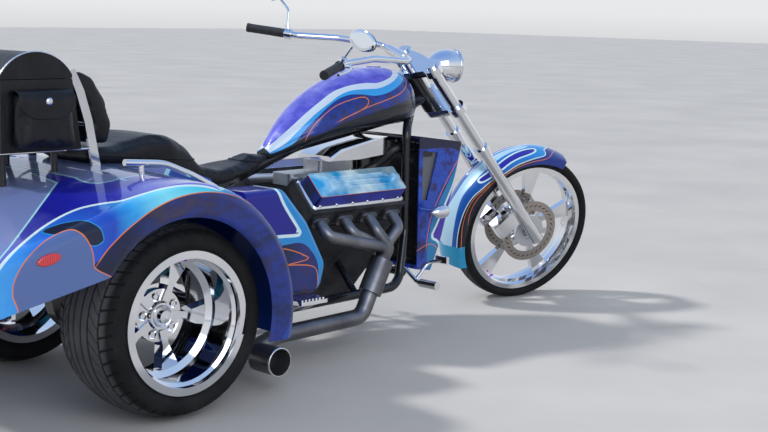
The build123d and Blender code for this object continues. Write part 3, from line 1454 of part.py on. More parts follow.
# Lamps: red ovals on the fenders' flanks, tail lamps and plate holder behind, signals in front
with BuildPart() as side_lamps:
    for side, _ in SIDES:
        with BuildSketch(side_plane(side * (FENDER_OUT_Y - 2 * SIDE_LAMP_PROUD))):
            with Locations(SIDE_LAMP):
                Ellipse(*SIDE_LAMP_HALF, rotation=10)
        extrude(amount=-side * 3 * SIDE_LAMP_PROUD)
        fillet(outer_edges(side_lamps, side), SIDE_LAMP_PROUD - 1)
    for side, _ in SIDES:
        add(fender_forms[side], mode=Mode.SUBTRACT)
keep(side_lamps, "side_lamps")

with BuildPart() as tail_lamps:
    for side, _ in SIDES:
        with BuildSketch(Plane((TAIL_X + 8, 0.62 * FENDER_IN_Y * side, TAIL_LAMP_Z), z_dir=(-1, 0, 0))):
            SlotOverall(150, 44)
        extrude(amount=30)
    with BuildSketch(Plane((TAIL_X + 8, 0, PLATE_HOLDER_Z), x_dir=(0, 1, 0), z_dir=(-1, 0, 0))):
        RectangleRounded(190, 112, 8)
    extrude(amount=26)
    add(tub_form.part, mode=Mode.SUBTRACT)
keep(tail_lamps, "tail_lamps")

signal_x = WHEELBASE - SIGNAL_BACK
with BuildPart() as turn_signals:
    for side, _ in SIDES:
        tip = (signal_x - SIGNAL_L / 2, side * SIGNAL_Y, SIGNAL_Z)
        tail = Plane(tip, x_dir=(0, 0, 1), z_dir=(0, -1, 0))
        with BuildSketch(tail):
            with BuildLine():
                Line((0, 0), (0, -SIGNAL_L))
                ThreePointArc((0, -SIGNAL_L), (18, 4 - SIGNAL_L), (26, 16 - SIGNAL_L))
                ThreePointArc((26, 16 - SIGNAL_L), (22, -0.3 * SIGNAL_L), (0, 0))
            make_face()
        revolve(axis=Axis(tail.origin, tail.y_dir))
        tube(mirrored([(signal_x, SHROUD_Y, SIGNAL_Z), (signal_x, SIGNAL_Y, SIGNAL_Z)], side), 8)
keep(turn_signals, "turn_signals")

os.makedirs("parts", exist_ok=True)
for name, solid in finished.items():
    export_step(solid, f"parts/{name}.step")
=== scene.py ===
"""A motorized trike in blue ribbon paint, chrome and black leather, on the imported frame."""
import json
from math import atan2, cos, hypot, pi, radians, sin

import bmesh
import bpy
import numpy as np
from mathutils import Matrix, Vector


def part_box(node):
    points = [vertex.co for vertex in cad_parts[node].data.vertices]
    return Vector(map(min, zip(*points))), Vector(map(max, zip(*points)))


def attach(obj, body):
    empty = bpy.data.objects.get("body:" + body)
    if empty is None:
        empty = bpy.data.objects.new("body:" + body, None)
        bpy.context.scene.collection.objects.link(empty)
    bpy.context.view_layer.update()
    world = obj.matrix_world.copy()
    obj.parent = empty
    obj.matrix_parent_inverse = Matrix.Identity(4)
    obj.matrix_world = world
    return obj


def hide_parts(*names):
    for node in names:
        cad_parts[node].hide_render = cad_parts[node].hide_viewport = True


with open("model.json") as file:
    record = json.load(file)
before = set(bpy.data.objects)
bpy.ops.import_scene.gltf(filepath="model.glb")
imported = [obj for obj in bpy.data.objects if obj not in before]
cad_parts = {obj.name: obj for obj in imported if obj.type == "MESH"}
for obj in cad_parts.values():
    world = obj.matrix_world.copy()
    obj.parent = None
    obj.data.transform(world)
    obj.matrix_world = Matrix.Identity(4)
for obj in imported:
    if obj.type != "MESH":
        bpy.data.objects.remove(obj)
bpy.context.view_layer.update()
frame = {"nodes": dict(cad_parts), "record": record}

# View: a long lens at standing eye height, to the right of and behind the trike. It looks forward
# and a little down, and is tilted about one degree.
EYE = Vector((-3.67959, -4.15192, 1.33317))
TURN, DOWN, ROLL = 0.79197, 0.14612, 0.0208
ahead = Vector((sin(TURN) * cos(DOWN), cos(TURN) * cos(DOWN), -sin(DOWN)))
level = Vector((cos(TURN), -sin(TURN), 0))
upright = level.cross(ahead)
across = level * cos(ROLL) + upright * sin(ROLL)
above = upright * cos(ROLL) - level * sin(ROLL)
scene = bpy.context.scene
lens = bpy.data.cameras.new("camera")
lens.sensor_width = 36
lens.lens = 66.07
lens.clip_end = 200
camera = bpy.data.objects.new("camera", lens)
scene.collection.objects.link(camera)
camera.matrix_world = Matrix(
    [[across[i], above[i], -ahead[i], EYE[i]] for i in range(3)] + [[0, 0, 0, 1]]
)
scene.camera = camera
scene.view_settings.view_transform = "Standard"


# Studio: a pale concrete floor under a plain bright sky, with one wide soft lamp high behind the
# trike's left and a weaker one on the near side. Chrome sees the sky's blue above the pale horizon.
class Field:
    """A value in a finish's nodes, so that its maths reads as arithmetic."""

    def __init__(self, finish, socket):
        self.finish, self.socket = finish, socket

    def math(self, operation, *values, **settings):
        return self.finish.math(operation, *values, **settings)

    def __add__(self, other):
        return self.math("ADD", self, other)

    def __mul__(self, other):
        return self.math("MULTIPLY", self, other)

    def __sub__(self, other):
        return self.math("SUBTRACT", self, other)

    def __rsub__(self, other):
        return self.math("SUBTRACT", other, self)

    def __truediv__(self, other):
        return self.math("DIVIDE", self, other)

    def __abs__(self):
        return self.math("ABSOLUTE", self)

    __radd__, __rmul__ = __add__, __mul__

    def inside(self, soft=0.0012):
        """1 where the value is below zero, 0 above, with a soft edge."""
        return self.math("MULTIPLY_ADD", self, -1 / soft, 0.5, clamp=True)

    def wave(self):
        return self.math("SINE", self)

    def most(self, other):
        return self.math("MAXIMUM", self, other)


class Finish:
    """A material, the sky or a row of nuts, built from nodes. Plain numbers go on the shader."""

    def __init__(self, name, tree=None, **shader):
        self.tree = tree
        if tree is None:
            self.material = bpy.data.materials.new(name)
            self.material.use_nodes = True
            self.tree = self.material.node_tree
            self.shader = self.tree.nodes["Principled BSDF"]
            for socket, value in shader.items():
                self.give(socket.replace("_", " "), value)

    def node(self, kind, settings=None, values=(), out=0):
        """Adds one node: its settings first, then its sockets' values or links."""
        made = self.tree.nodes.new(kind)
        for key, value in (settings or {}).items():
            if key == "stops":
                ramp = made.color_ramp
                while len(ramp.elements) < len(value):
                    ramp.elements.new(1)
                for element, (at, *colour) in zip(ramp.elements, value):
                    element.position, element.color = at, (*colour, 1)
            else:
                setattr(made, key, value)
        named = values.items() if isinstance(values, dict) else enumerate(values)
        for key, value in named:
            self.link(made.inputs[key], value)
        return Field(self, made.outputs[out]) if made.outputs else None

    def link(self, socket, value):
        if isinstance(value, Field):
            self.tree.links.new(value.socket, socket)
        elif socket.type == "RGBA":
            socket.default_value = (*value, 1)
        else:
            socket.default_value = value

    def give(self, socket, value):
        self.link(self.shader.inputs[socket], value)

    def math(self, operation, *values, clamp=False):
        settings = {"operation": operation, "use_clamp": clamp}
        return self.node("ShaderNodeMath", settings, values)

    def place(self):
        return self.node("ShaderNodeTexCoord", out="Object")

    def axis(self, vector, name):
        return self.node("ShaderNodeSeparateXYZ", {}, [vector], out=name)

    def part(self, name):
        return self.axis(self.place(), name)

    def kept(self, name, out="Fac"):
        """A value or vector kept on the mesh under that name."""
        return self.node("ShaderNodeAttribute", {"attribute_name": name}, out=out)

    def noise(self, scale, detail=2.0, rough=0.5, stretch=(1, 1, 1)):
        where = self.node("ShaderNodeMapping", {}, {"Vector": self.place(), "Scale": stretch})
        sockets = {"Vector": where, "Scale": scale, "Detail": detail, "Roughness": rough}
        return self.node("ShaderNodeTexNoise", {}, sockets)

    def ramp(self, value, stops):
        return self.node("ShaderNodeValToRGB", {"stops": stops}, [value])

    def mix(self, share, below, over):
        sockets = {0: share, 6: below, 7: over}
        return self.node("ShaderNodeMix", {"data_type": "RGBA"}, sockets, out=2)

    def tones(self, scale, detail, dark, light, ends=(0.3, 0.7)):
        """A base colour that wanders between two tones."""
        stops = [(ends[0], *dark), (ends[1], *light)]
        self.give("Base Color", self.ramp(self.noise(scale, detail), stops))

    def uneven(self, least, gain, scale, detail=2.0):
        """A roughness that wanders from the least upwards."""
        self.give("Roughness", least + gain * self.noise(scale, detail))

    def bump(self, height, distance, strength=1.0):
        sockets = {"Height": height, "Distance": distance, "Strength": strength}
        self.give("Normal", self.node("ShaderNodeBump", {}, sockets))


world = bpy.data.worlds.new("sky")
world.use_nodes = True
world.node_tree.nodes.clear()
sky = Finish("sky", tree=world.node_tree)
SKY_STOPS = [
    (0.0, 0.3, 0.31, 0.33), (0.47, 0.42, 0.43, 0.45), (0.5, 0.8, 0.81, 0.82),
    (0.6, 0.82, 0.88, 0.96), (0.78, 0.44, 0.62, 0.94), (1.0, 0.24, 0.42, 0.86)
]
heading = sky.node("ShaderNodeTexCoord", out="Generated")
height = sky.axis(heading, "Z") * 0.5 + 0.5
seen = sky.node("ShaderNodeBackground", {}, [sky.ramp(height, SKY_STOPS), 1.0])
light = sky.node("ShaderNodeBackground", {}, [(0.93, 0.96, 1.0), 0.52])
direct, mirrored, through = (
    sky.node("ShaderNodeLightPath", out=f"Is {kind} Ray")
    for kind in ("Camera", "Glossy", "Transmission")
)
shown = sky.node("ShaderNodeMixShader", {}, [direct.most(mirrored).most(through), light, seen])
sky.node("ShaderNodeOutputWorld", {}, [shown])
scene.world = world

concrete = Finish("pale_concrete", Roughness=0.75)
patches = concrete.noise(0.8, 6.0, 0.6)
pale = [(0.3, 0.5, 0.5, 0.51), (0.7, 0.6, 0.6, 0.605)]
concrete.give("Base Color", concrete.ramp(patches, pale))
concrete.bump(concrete.noise(180.0, 3.0), 0.0006, 0.5)
floor_mesh = bpy.data.meshes.new("floor")
REACH = 60.0
corners = [(x * REACH, y * REACH, 0) for x, y in ((-1, -1), (1, -1), (1, 1), (-1, 1))]
floor_mesh.from_pydata(corners, [], [(0, 1, 2, 3)])
floor_mesh.materials.append(concrete.material)
floor = bpy.data.objects.new("floor", floor_mesh)
scene.collection.objects.link(floor)


def lamp(name, kind, place, target, energy, **settings):
    """A lamp at a place, turned to its target."""
    data = bpy.data.lights.new(name, kind)
    data.energy = energy
    for key, value in settings.items():
        setattr(data, key, value)
    made = bpy.data.objects.new(name, data)
    away = Vector(place) - Vector(target)
    made.matrix_world = Matrix.Translation(place) @ away.to_track_quat(
        "Z", "Y"
    ).to_matrix().to_4x4()
    scene.collection.objects.link(made)


lamp("key", "SUN", (-3.6, 4.6, 6.2), (0, 0, 0.3), 2.1, angle=radians(6), color=(1.0, 0.97, 0.92))
lamp("fill", "AREA", (-3.0, -7.5, 4.2), (0, 0, 0.5), 260, size=5.0, color=(0.92, 0.95, 1.0))


# Paint: candy blue over a fine metal base under deep clear lacquer, with ribbons of light blue,
# violet and navy. Each ribbon is masked with tape and edged by hand with a thin line.
ORANGE, WHITE, CYAN = (0.8, 0.2, 0.04), (0.66, 0.86, 0.95), (0.01, 0.3, 0.72)
LACQUER = {"Specular_IOR_Level": 0.1, "Coat_Weight": 1.0, "Coat_IOR": 1.38}
MERGE = 2e-5


def smooth_line(points, closed, steps=8):
    """A smooth line through the points."""
    p = np.array(points, float)
    n = len(p)
    rows = []
    for i in range(n if closed else n - 1):
        a, b, c, d = (
            p[(i + k) % n] if closed else p[min(max(i + k, 0), n - 1)]
            for k in (-1, 0, 1, 2)
        )
        square, cube = 2 * a - 5 * b + 4 * c - d, 3 * b - a - 3 * c + d
        for t in np.arange(steps) / steps:
            rows.append(0.5 * (2 * b + (c - a) * t + square * t**2 + cube * t**3))
    if not closed:
        rows.append(p[-1])
    return np.array(rows)


def outline_distance(line, where):
    """How far each place is from a closed line, in metres, and negative inside it."""
    best = np.full(len(where), 1e9)
    within = np.zeros(len(where), bool)
    for a, b in zip(line, np.roll(line, -1, 0)):
        run = b - a
        share = np.clip(((where - a) @ run) / max(run @ run, 1e-12), 0, 1)
        best = np.minimum(best, np.linalg.norm(where - a - share[:, None] * run, axis=1))
        if a[1] != b[1]:
            crosses = (a[1] > where[:, 1]) != (b[1] > where[:, 1])
            at = a[0] + (where[:, 1] - a[1]) / (b[1] - a[1]) * run[0]
            within ^= crosses & (where[:, 0] < at)
    return np.where(within, -best, best)


def line_distance(line, where):
    """How far each place is to the left of an open line, and how far past its nearer end."""
    best, past, side = np.full(len(where), 1e9), np.zeros(len(where)), np.ones(len(where))
    runs = np.diff(line, axis=0)
    lengths = np.linalg.norm(runs, axis=1)
    total = lengths.sum()
    done = 0.0
    for a, run, length in zip(line, runs, lengths):
        along = ((where - a) @ run) / length
        gap = where - a - np.clip(along, 0, length)[:, None] * run / length
        away = np.linalg.norm(gap, axis=1)
        nearer = away < best
        reach = done + along
        best = np.where(nearer, away, best)
        past = np.where(nearer, np.maximum(-reach, reach - total), past)
        turn = run[0] * (where - a)[:, 1] - run[1] * (where - a)[:, 0]
        side = np.where(nearer, np.sign(turn), side)
        done += length
    return np.stack([best * side, past, 0 * best], 1)


def merged(node):
    """A copy of a CAD node's loose triangles, merged, as a mesh in the making."""
    form = bmesh.new()
    form.from_mesh(frame["nodes"][node].data)
    bmesh.ops.remove_doubles(form, verts=form.verts, dist=MERGE)
    return form


def as_mesh(form, name):
    """Ends a mesh's making."""
    mesh = bpy.data.meshes.new(name)
    form.to_mesh(mesh)
    form.free()
    return mesh


def divided(node, cell):
    """A CAD node's mesh cut along X and Z into cells small enough to carry the lines."""
    form = merged(node)
    low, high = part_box(node)
    for axis in (0, 2):
        edge = Vector((axis == 0, axis == 1, axis == 2))
        for at in np.arange(low[axis] + cell / 2, high[axis], cell):
            everything = [*form.verts, *form.edges, *form.faces]
            bmesh.ops.bisect_plane(form, geom=everything, plane_co=edge * at, plane_no=edge)
    return as_mesh(form, node + "_skin")


def smoothed(mesh, angle=32):
    mesh.polygons.foreach_set("use_smooth", [True] * len(mesh.polygons))
    mesh.set_sharp_from_angle(angle=radians(angle))
    return mesh


def fitted(name, mesh, body, finish, replaces=()):
    """Puts a finished mesh on the trike as a piece of that body."""
    mesh.materials.clear()
    mesh.materials.append(finish.material)
    made = bpy.data.objects.new(name, mesh)
    scene.collection.objects.link(made)
    if replaces:
        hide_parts(*replaces)
    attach(made, body)
    return made


def ribbon_paint(name, base, layers, lines):
    """Lacquered paint whose ribbons and lines read distances kept on the mesh.

    A layer is a ribbon's name, its ink and, where it is edged, the edge's ink and half width."""
    paint = Finish(name, Metallic=0.1, Roughness=0.36, Coat_Roughness=0.03, **LACQUER)
    marble = paint.noise(5.0, 4.0, 0.6)
    colour = base(paint, marble)
    for ribbon, ink, *edging in layers:
        away = paint.kept(ribbon)
        tint = ink(paint, marble) if callable(ink) else ink
        colour = paint.mix(away.inside(), colour, tint)
        for edge, width in edging:
            colour = paint.mix((abs(away) - width).inside(), colour, edge)
    for line, ink, width in lines:
        found = paint.kept(line, "Vector")
        away, past = abs(paint.axis(found, "X")), paint.axis(found, "Y")
        taper = paint.math("MULTIPLY_ADD", past, -25, 0.15, clamp=True) * width
        colour = paint.mix((away - taper).inside(0.0008), colour, ink)
    flake = paint.noise(900.0, 1.0)
    paint.give("Base Color", paint.mix(0.03 * flake, colour, (0.45, 0.6, 0.95)))
    return paint


def painted(node, body, chart, scaled, paint, ribbons, lines, cell=0.016):
    """A painted CAD piece with its ribbons' and lines' distances worked out on its own surface.

    The chart gives each place of the surface, and scaled gives each point of a line, in metres."""
    mesh = smoothed(divided(node, cell))
    places = np.zeros(len(mesh.vertices) * 3)
    mesh.vertices.foreach_get("co", places)
    where = chart(places.reshape(-1, 3))
    for name, points in ribbons.items():
        away = outline_distance(smooth_line(scaled(points), True), where)
        mesh.attributes.new(name, "FLOAT", "POINT").data.foreach_set("value", away)
    for name, points in lines.items():
        away = line_distance(smooth_line(scaled(points), False), where)
        kept = mesh.attributes.new(name, "FLOAT_VECTOR", "POINT")
        kept.data.foreach_set("vector", away.ravel())
    return fitted("painted_" + node, mesh, body, paint, [node])


# Rear fenders and deck: moulded shells over the driven wheels. A light ribbon runs round each
# crest from the tail, with a royal-blue field above it and a grey-blue panel by the side lamp.
ARCH_X, ARCH_Z, SIDE_Y = -1.03, 0.34, 0.702
CHART_R = 0.45


def around_arch(places):
    """Angle round the wheel arch by girth: out from the arch's middle and in over the top."""
    x, y, z = places.T
    turn = np.arctan2(z - ARCH_Z, x - ARCH_X)
    turn = np.where(turn < -pi / 2, turn + 2 * pi, turn)
    out = np.hypot(x - ARCH_X, z - ARCH_Z) + SIDE_Y - np.abs(y)
    return np.stack([turn * CHART_R, out], 1)


def by_degrees(points):
    """Degrees round the arch and millimetres out, as metres on the chart."""
    return [(radians(turn) * CHART_R, out / 1000) for turn, out in points]


PIN = [
    (147.6, 419), (143.2, 415), (138.7, 413), (132.7, 408), (126.4, 405), (119.9, 403),
    (112.8, 405), (106.1, 407), (98.8, 411), (91.9, 415), (85.4, 420), (73.2, 432), (60.7, 450),
    (45, 462), (25, 458), (0, 452)
]
CREST = [
    (162, 722), (158.5, 715), (154.5, 703), (149.9, 692), (143.9, 678), (139.1, 664), (134.2, 648),
    (129.6, 626), (125.7, 596), (121.5, 556), (117.9, 521), (110.2, 496), (105, 482), (99.8, 471),
    (90.2, 459), (80.5, 450), (73.5, 440)
]
ROYAL_TOP = [
    (157.5, 728), (151.4, 730), (143.1, 752), (135.8, 781), (126.7, 826), (114.7, 900), (106, 972),
    (109.5, 890), (111.6, 815), (111.2, 752), (108, 718), (103, 703), (97.5, 694), (91.6, 686),
    (86, 660), (81, 600), (77, 520), (74.5, 455)
]
PANEL = [
    (166.3, 633), (164.5, 648), (162.3, 655), (160.3, 656), (156.5, 648), (152.2, 634),
    (148.3, 620), (144.9, 601), (142.4, 582), (140.7, 560), (140.2, 531), (140.4, 502),
    (141.5, 473), (143.2, 450), (145.5, 433), (147.4, 421), (147.8, 400), (148, 300), (160, 280),
    (175, 300), (175, 550)
]
TEAR = [
    (145.5, 668), (144.2, 665), (141.7, 642), (138.4, 608), (136.3, 577), (135, 538), (134.6, 507),
    (134.4, 479), (135.2, 458), (136.9, 441), (139.4, 447), (141.6, 470), (140.6, 500),
    (140.4, 530), (141, 560), (142.6, 585), (145, 605)
]
WELL = [(170, 380), (150, 345), (143, 338), (120, 333), (90, 333), (60, 333), (30, 333), (-10, 333)]
FENDER_RIBBONS = {
    "light_field": PIN + [(-20, 452), (-20, 1300), (60, 1500), (185, 1300), (185, 300), (150, 300)],
    "royal_field": ROYAL_TOP + CREST[::-1],
    "top_field": ROYAL_TOP + [
        (71, 480), (68, 600), (66, 750), (64, 1000), (64, 1600), (185, 1500), (185, 740)
    ],
    "grey_panel": PANEL,
    "navy_tear": TEAR,
}
FENDER_LINES = {"pin": PIN, "crest": CREST, "well": WELL}


def fade(start, span, wander, stops):
    """An ink that changes along the trike from a start over a span, and wanders a little."""

    def ink(paint, marble):
        return paint.ramp((paint.part("X") - start) / span + (marble - 0.5) * wander, stops)

    return ink


def fender_base(paint, marble):
    # The fender's own dark navy paint, streaked with painted reflections in bright blue and
    # purple-brown near the arch, is multiplied by a painted shadow along the trike that is darkest
    # towards the tail.
    reflection_streaks = paint.noise(3.2, 5.0, 0.62, (1.0, 1.0, 2.2))
    navy_and_painted_reflections = paint.ramp(
        reflection_streaks,
        [
            (0.3, 0.002, 0.006, 0.03), (0.4, 0.003, 0.015, 0.1), (0.48, 0.006, 0.03, 0.24),
            (0.56, 0.02, 0.02, 0.1), (0.64, 0.055, 0.032, 0.06), (0.72, 0.04, 0.04, 0.13),
            (0.82, 0.004, 0.012, 0.08)
        ],
    )
    shades = [(0.0, 0.25, 0.25, 0.4), (0.3, 0.1, 0.12, 0.2), (0.55, 1, 1, 1), (1.0, 0.7, 0.8, 1.0)]
    shadow = fade(-1.45, 0.55, 0.4, shades)(paint, marble)
    settings = {"data_type": "RGBA", "blend_type": "MULTIPLY"}
    return paint.node("ShaderNodeMix", settings, {0: 1.0, 6: navy_and_painted_reflections, 7: shadow}, out=2)


fender_light = fade(
    -1.7, 0.9, 0.16,
    [
        (0.0, 0.05, 0.36, 0.86), (0.2, 0.012, 0.15, 0.72), (0.42, 0.006, 0.06, 0.52),
        (0.5, 0.02, 0.35, 0.8), (0.62, 0.22, 0.76, 0.92), (0.8, 0.05, 0.62, 0.86),
        (0.92, 0.01, 0.25, 0.62), (1.0, 0.004, 0.05, 0.35)
    ],
)
fender_royal = fade(
    -1.7, 0.85, 0.3,
    [
        (0.0, 0.12, 0.14, 0.62), (0.3, 0.004, 0.004, 0.3), (0.55, 0.006, 0.008, 0.42),
        (0.8, 0.1, 0.1, 0.6), (1.0, 0.26, 0.32, 0.78)
    ],
)
fender_paint = ribbon_paint(
    "fender_paint", fender_base,
    [
        ("light_field", fender_light),
        ("top_field", (0.16, 0.22, 0.5), ((0.36, 0.72, 0.86), 0.0085)),
        ("royal_field", fender_royal),
        ("navy_tear", (0.003, 0.006, 0.03), (CYAN, 0.0016)),
        ("grey_panel", (0.09, 0.15, 0.38), (ORANGE, 0.0018)),
    ],
    [("crest", WHITE, 0.0065), ("pin", ORANGE, 0.0018), ("well", ORANGE, 0.0013)],
)
for node in ("fender_right", "fender_left", "body_centre"):
    painted(node, "chassis", around_arch, by_degrees, fender_paint, FENDER_RIBBONS, FENDER_LINES)

# Side cowls: bulged covers ahead of the rear fenders, with a bright band along the front edge, a
# framed royal-blue field above and a dark panel with looped lines below.
COWL = {
    "cowl_band": [
        (-600, 488), (-383, 487), (-306, 487), (-257, 459), (-215, 390), (-213, 250), (-100, 250),
        (-100, 800), (-600, 800)
    ],
    "cowl_field": [
        (-600, 524), (-420, 520), (-325, 516), (-306, 521), (-315, 540), (-385, 634), (-415, 700),
        (-440, 800), (-600, 800)
    ],
}
LOOP = [
    (-560, 478), (-440, 476), (-378, 472), (-306, 449), (-262, 426), (-300, 418), (-363, 412),
    (-300, 404), (-250, 396), (-224, 380), (-216, 340), (-219, 290)
]


def side_view(places):
    return places[:, [0, 2]]


def by_side(points):
    """Millimetres along the trike and up, as metres on the chart."""
    return [(along / 1000, up / 1000) for along, up in points]


def dark_blue(paint, marble):
    return paint.ramp(
        marble, [(0.35, 0.003, 0.006, 0.045), (0.55, 0.006, 0.02, 0.17), (0.68, 0.04, 0.018, 0.07)]
    )


cowl_paint = ribbon_paint(
    "cowl_paint", dark_blue,
    [("cowl_band", (0.008, 0.26, 0.66)), ("cowl_field", (0.004, 0.004, 0.26), (WHITE, 0.006))],
    [("loop", ORANGE, 0.0018)],
)
painted("side_cowls", "chassis", side_view, by_side, cowl_paint, COWL, {"loop": LOOP})

# Radiator shroud: a folded sheet box with a mesh window, a dark top, a bright band and a long
# framed violet blade along its front.
SHROUD = {
    "shroud_top": [(500, 772), (700, 762), (800, 742), (800, 860), (500, 860)],
    "shroud_band": [
        (800, 735), (745, 668), (690, 590), (643, 520), (612, 460), (596, 400), (585, 330),
        (600, 220), (720, 220), (900, 600), (900, 780)
    ],
    "shroud_blade": [
        (762, 655), (735, 600), (690, 523), (640, 440), (612, 392), (645, 372), (668, 352),
        (690, 400), (715, 470), (742, 560)
    ],
}
EDGE = [(800, 748), (735, 672), (680, 598), (634, 528), (602, 466), (586, 400), (578, 330)]
FOOT = [(500, 330), (555, 352), (600, 362), (640, 345), (668, 300)]


def mottle(scale, detail, rough, stops):
    """An ink that wanders with a noise of that scale."""
    return lambda paint, marble: paint.ramp(paint.noise(scale, detail, rough), stops)


shroud_blue = mottle(
    8.0, 5.0, 0.65,
    [
        (0.32, 0.003, 0.006, 0.05), (0.45, 0.006, 0.035, 0.34), (0.54, 0.01, 0.07, 0.5),
        (0.62, 0.015, 0.01, 0.12), (0.72, 0.05, 0.02, 0.09)
    ],
)
shroud_paint = ribbon_paint(
    "shroud_paint", shroud_blue,
    [
        ("shroud_top", (0.004, 0.003, 0.03)),
        ("shroud_band", (0.008, 0.2, 0.46)),
        ("shroud_blade", (0.06, 0.025, 0.4), (WHITE, 0.0055)),
    ],
    [("shroud_edge", ORANGE, 0.0018), ("shroud_foot_line", ORANGE, 0.0015)],
)
SHROUD_LINES = {"shroud_edge": EDGE, "shroud_foot_line": FOOT}
painted("radiator_shroud", "chassis", side_view, by_side, shroud_paint, SHROUD, SHROUD_LINES)

# Fuel tank: a long pressed teardrop. Light ribbons sweep up from the seat round a framed violet
# oval on its top. Its flanks are dark and carry one looped line.
CHART_ARM = 0.16
TANK_REAR, TANK_Z, TANK_SLOPE = -0.144, 0.79, 0.28


def around_tank(places):
    """Along the tank by the angle round it, both sides alike."""
    x, y, z = places.T
    turn = np.arctan2(z - TANK_Z - TANK_SLOPE * (x - TANK_REAR), np.abs(y))
    return np.stack([x, turn * CHART_ARM], 1)


def by_turn(points):
    """Millimetres along the tank and degrees round it, as metres on the chart."""
    return [(x / 1000, radians(turn) * CHART_ARM) for x, turn in points]


TANK = {
    "tank_cyan": [
        (-160, -20), (-68, -10), (-12, 20), (63, 36), (132, 43), (190, 42), (243, 35), (315, 24),
        (401, 22), (489, 30), (540, 50), (560, 100), (-200, 100)
    ],
    "tank_white": [
        (-180, -20), (-103, -7), (-44, 22), (24, 38), (108, 45), (163, 48), (214, 46), (281, 38),
        (345, 32), (426, 34), (495, 45), (515, 62), (500, 100), (-180, 100)
    ],
    "tank_violet": [
        (-180, 10), (-92, 38), (-16, 50), (73, 56), (146, 59), (216, 55), (290, 47), (346, 40),
        (424, 42), (472, 54), (475, 70), (460, 100), (-180, 100)
    ],
    "tank_dark": [
        (-160, -4), (56, 1), (116, 5), (176, 5), (306, 3), (431, 1), (531, 0), (660, 0),
        (660, -100), (-160, -100)
    ],
}
TANK_LOOP = [
    (-13, -8), (-3, 7), (35, 25), (110, 35), (189, 34), (249, 30), (271, 23), (258, 16), (210, 13),
    (150, 12), (110, 10)
]
TANK_SWEEP = [(129, 9), (162, 12), (259, 14), (389, 13), (460, 15), (520, 26), (548, 45), (555, 70)]
tank_blue = mottle(
    9.0, 5.0, 0.6,
    [
        (0.34, 0.002, 0.005, 0.05), (0.48, 0.006, 0.03, 0.3), (0.56, 0.01, 0.02, 0.16),
        (0.66, 0.05, 0.025, 0.06)
    ],
)
tank_violet = mottle(
    14.0, 4.0, 0.6, [(0.35, 0.06, 0.06, 0.55), (0.6, 0.16, 0.16, 0.72), (0.75, 0.34, 0.38, 0.85)]
)
tank_paint = ribbon_paint(
    "tank_paint", tank_blue,
    [
        ("tank_dark", (0.01, 0.01, 0.014)),
        ("tank_cyan", (0.03, 0.36, 0.86)),
        ("tank_white", (0.62, 0.76, 0.92)),
        ("tank_violet", tank_violet),
    ],
    [("tank_loop", ORANGE, 0.0018), ("tank_sweep", ORANGE, 0.0016)],
)
TANK_LINES = {"tank_loop": TANK_LOOP, "tank_sweep": TANK_SWEEP}
painted("fuel_tank", "chassis", around_tank, by_turn, tank_paint, TANK, TANK_LINES, 0.012)

# Front fender: a crowned sheet over the steered wheel. A framed violet inlay and light bands
# follow its crown, with a fine line above its lower edge and a plain light rear end.
AXLE_X, AXLE_Z = 1.414, 0.3472
CROWN_X, CROWN_Z, CROWN_R = 1.402, 0.3352, 0.402
RAKE = radians(43)
STEM = Vector((-sin(RAKE), 0, cos(RAKE)))
STEM_FOOT = Vector((AXLE_X - 0.06 * cos(RAKE), 0, AXLE_Z - 0.06 * sin(RAKE)))
from_foot, to_foot = Matrix.Translation(-STEM_FOOT), Matrix.Translation(STEM_FOOT)
unturned = to_foot @ Matrix.Rotation(radians(20), 4, STEM) @ from_foot
steered = unturned.inverted()


def around_crown(places):
    """Angle round the front wheel by girth from the crown, with the steering set straight."""
    turn = np.array(unturned)
    x, y, z = (places @ turn[:3, :3].T + turn[:3, 3]).T
    angle = np.arctan2(z - CROWN_Z, x - CROWN_X)
    angle = np.where(angle < -pi / 2, angle + 2 * pi, angle)
    girth = np.abs(y) + np.clip(CROWN_R - np.hypot(x - CROWN_X, z - CROWN_Z), 0, 1)
    return np.stack([angle * CROWN_R, girth], 1)


def by_crown(points):
    """Degrees round the wheel and millimetres from the crown, as metres on the chart."""
    return [(radians(turn) * CROWN_R, girth / 1000) for turn, girth in points]


CROWN = {
    "inlay": [
        (140, 45), (133, 52), (126, 55), (115, 42), (106, 33), (98, 29), (93, 34), (94, 60),
        (100, 78), (108, 84), (116, 90), (124, 99), (133, 96), (140, 75)
    ],
    "bright": [
        (88, -50), (86, 50), (89, 100), (101, 116), (112, 121), (124, 127), (135, 113), (143, 105),
        (151, 90), (160, 86), (170, 90), (185, 98), (196, 102), (215, 100), (215, -50)
    ],
    "crown_light": [
        (96, -50), (98, 12), (112, 18), (128, 30), (142, 34), (155, 28), (166, 44), (176, 58),
        (188, 64), (195, 50), (198, -50)
    ],
    "rear_end": [(193, -50), (193, 300), (230, 300), (230, -50)],
}
CROWN_LINES = {
    "skirt_line": [
        (74, -20), (75, 20), (80, 66), (86.3, 115), (98.6, 128), (114.7, 133), (124.3, 138),
        (134.7, 124), (142.4, 117), (151, 102), (160.4, 101), (169.8, 108), (182, 122), (191, 126)
    ],
    "spike": [(128, 128), (140, 128), (152, 120), (162, 124), (172, 140)],
}
crown_dark = fade(
    1.05, 0.4, 0.5,
    [(0.2, 0.003, 0.004, 0.014), (0.5, 0.004, 0.01, 0.06), (0.85, 0.006, 0.03, 0.26)]
)
crown_bright = fade(
    1.05, 0.4, 0.3, [(0.1, 0.006, 0.09, 0.42), (0.55, 0.01, 0.2, 0.62), (0.9, 0.02, 0.3, 0.76)]
)
front_fender_paint = ribbon_paint(
    "front_fender_paint", crown_dark,
    [
        ("bright", crown_bright, (WHITE, 0.0028)),
        ("crown_light", (0.42, 0.66, 0.86)),
        ("inlay", (0.018, 0.014, 0.36), (WHITE, 0.0048)),
        ("rear_end", (0.008, 0.3, 0.56)),
    ],
    [("skirt_line", ORANGE, 0.0018), ("spike", ORANGE, 0.0014)],
)
painted(
    "front_fender", "fork", around_crown, by_crown, front_fender_paint, CROWN, CROWN_LINES, 0.014
)

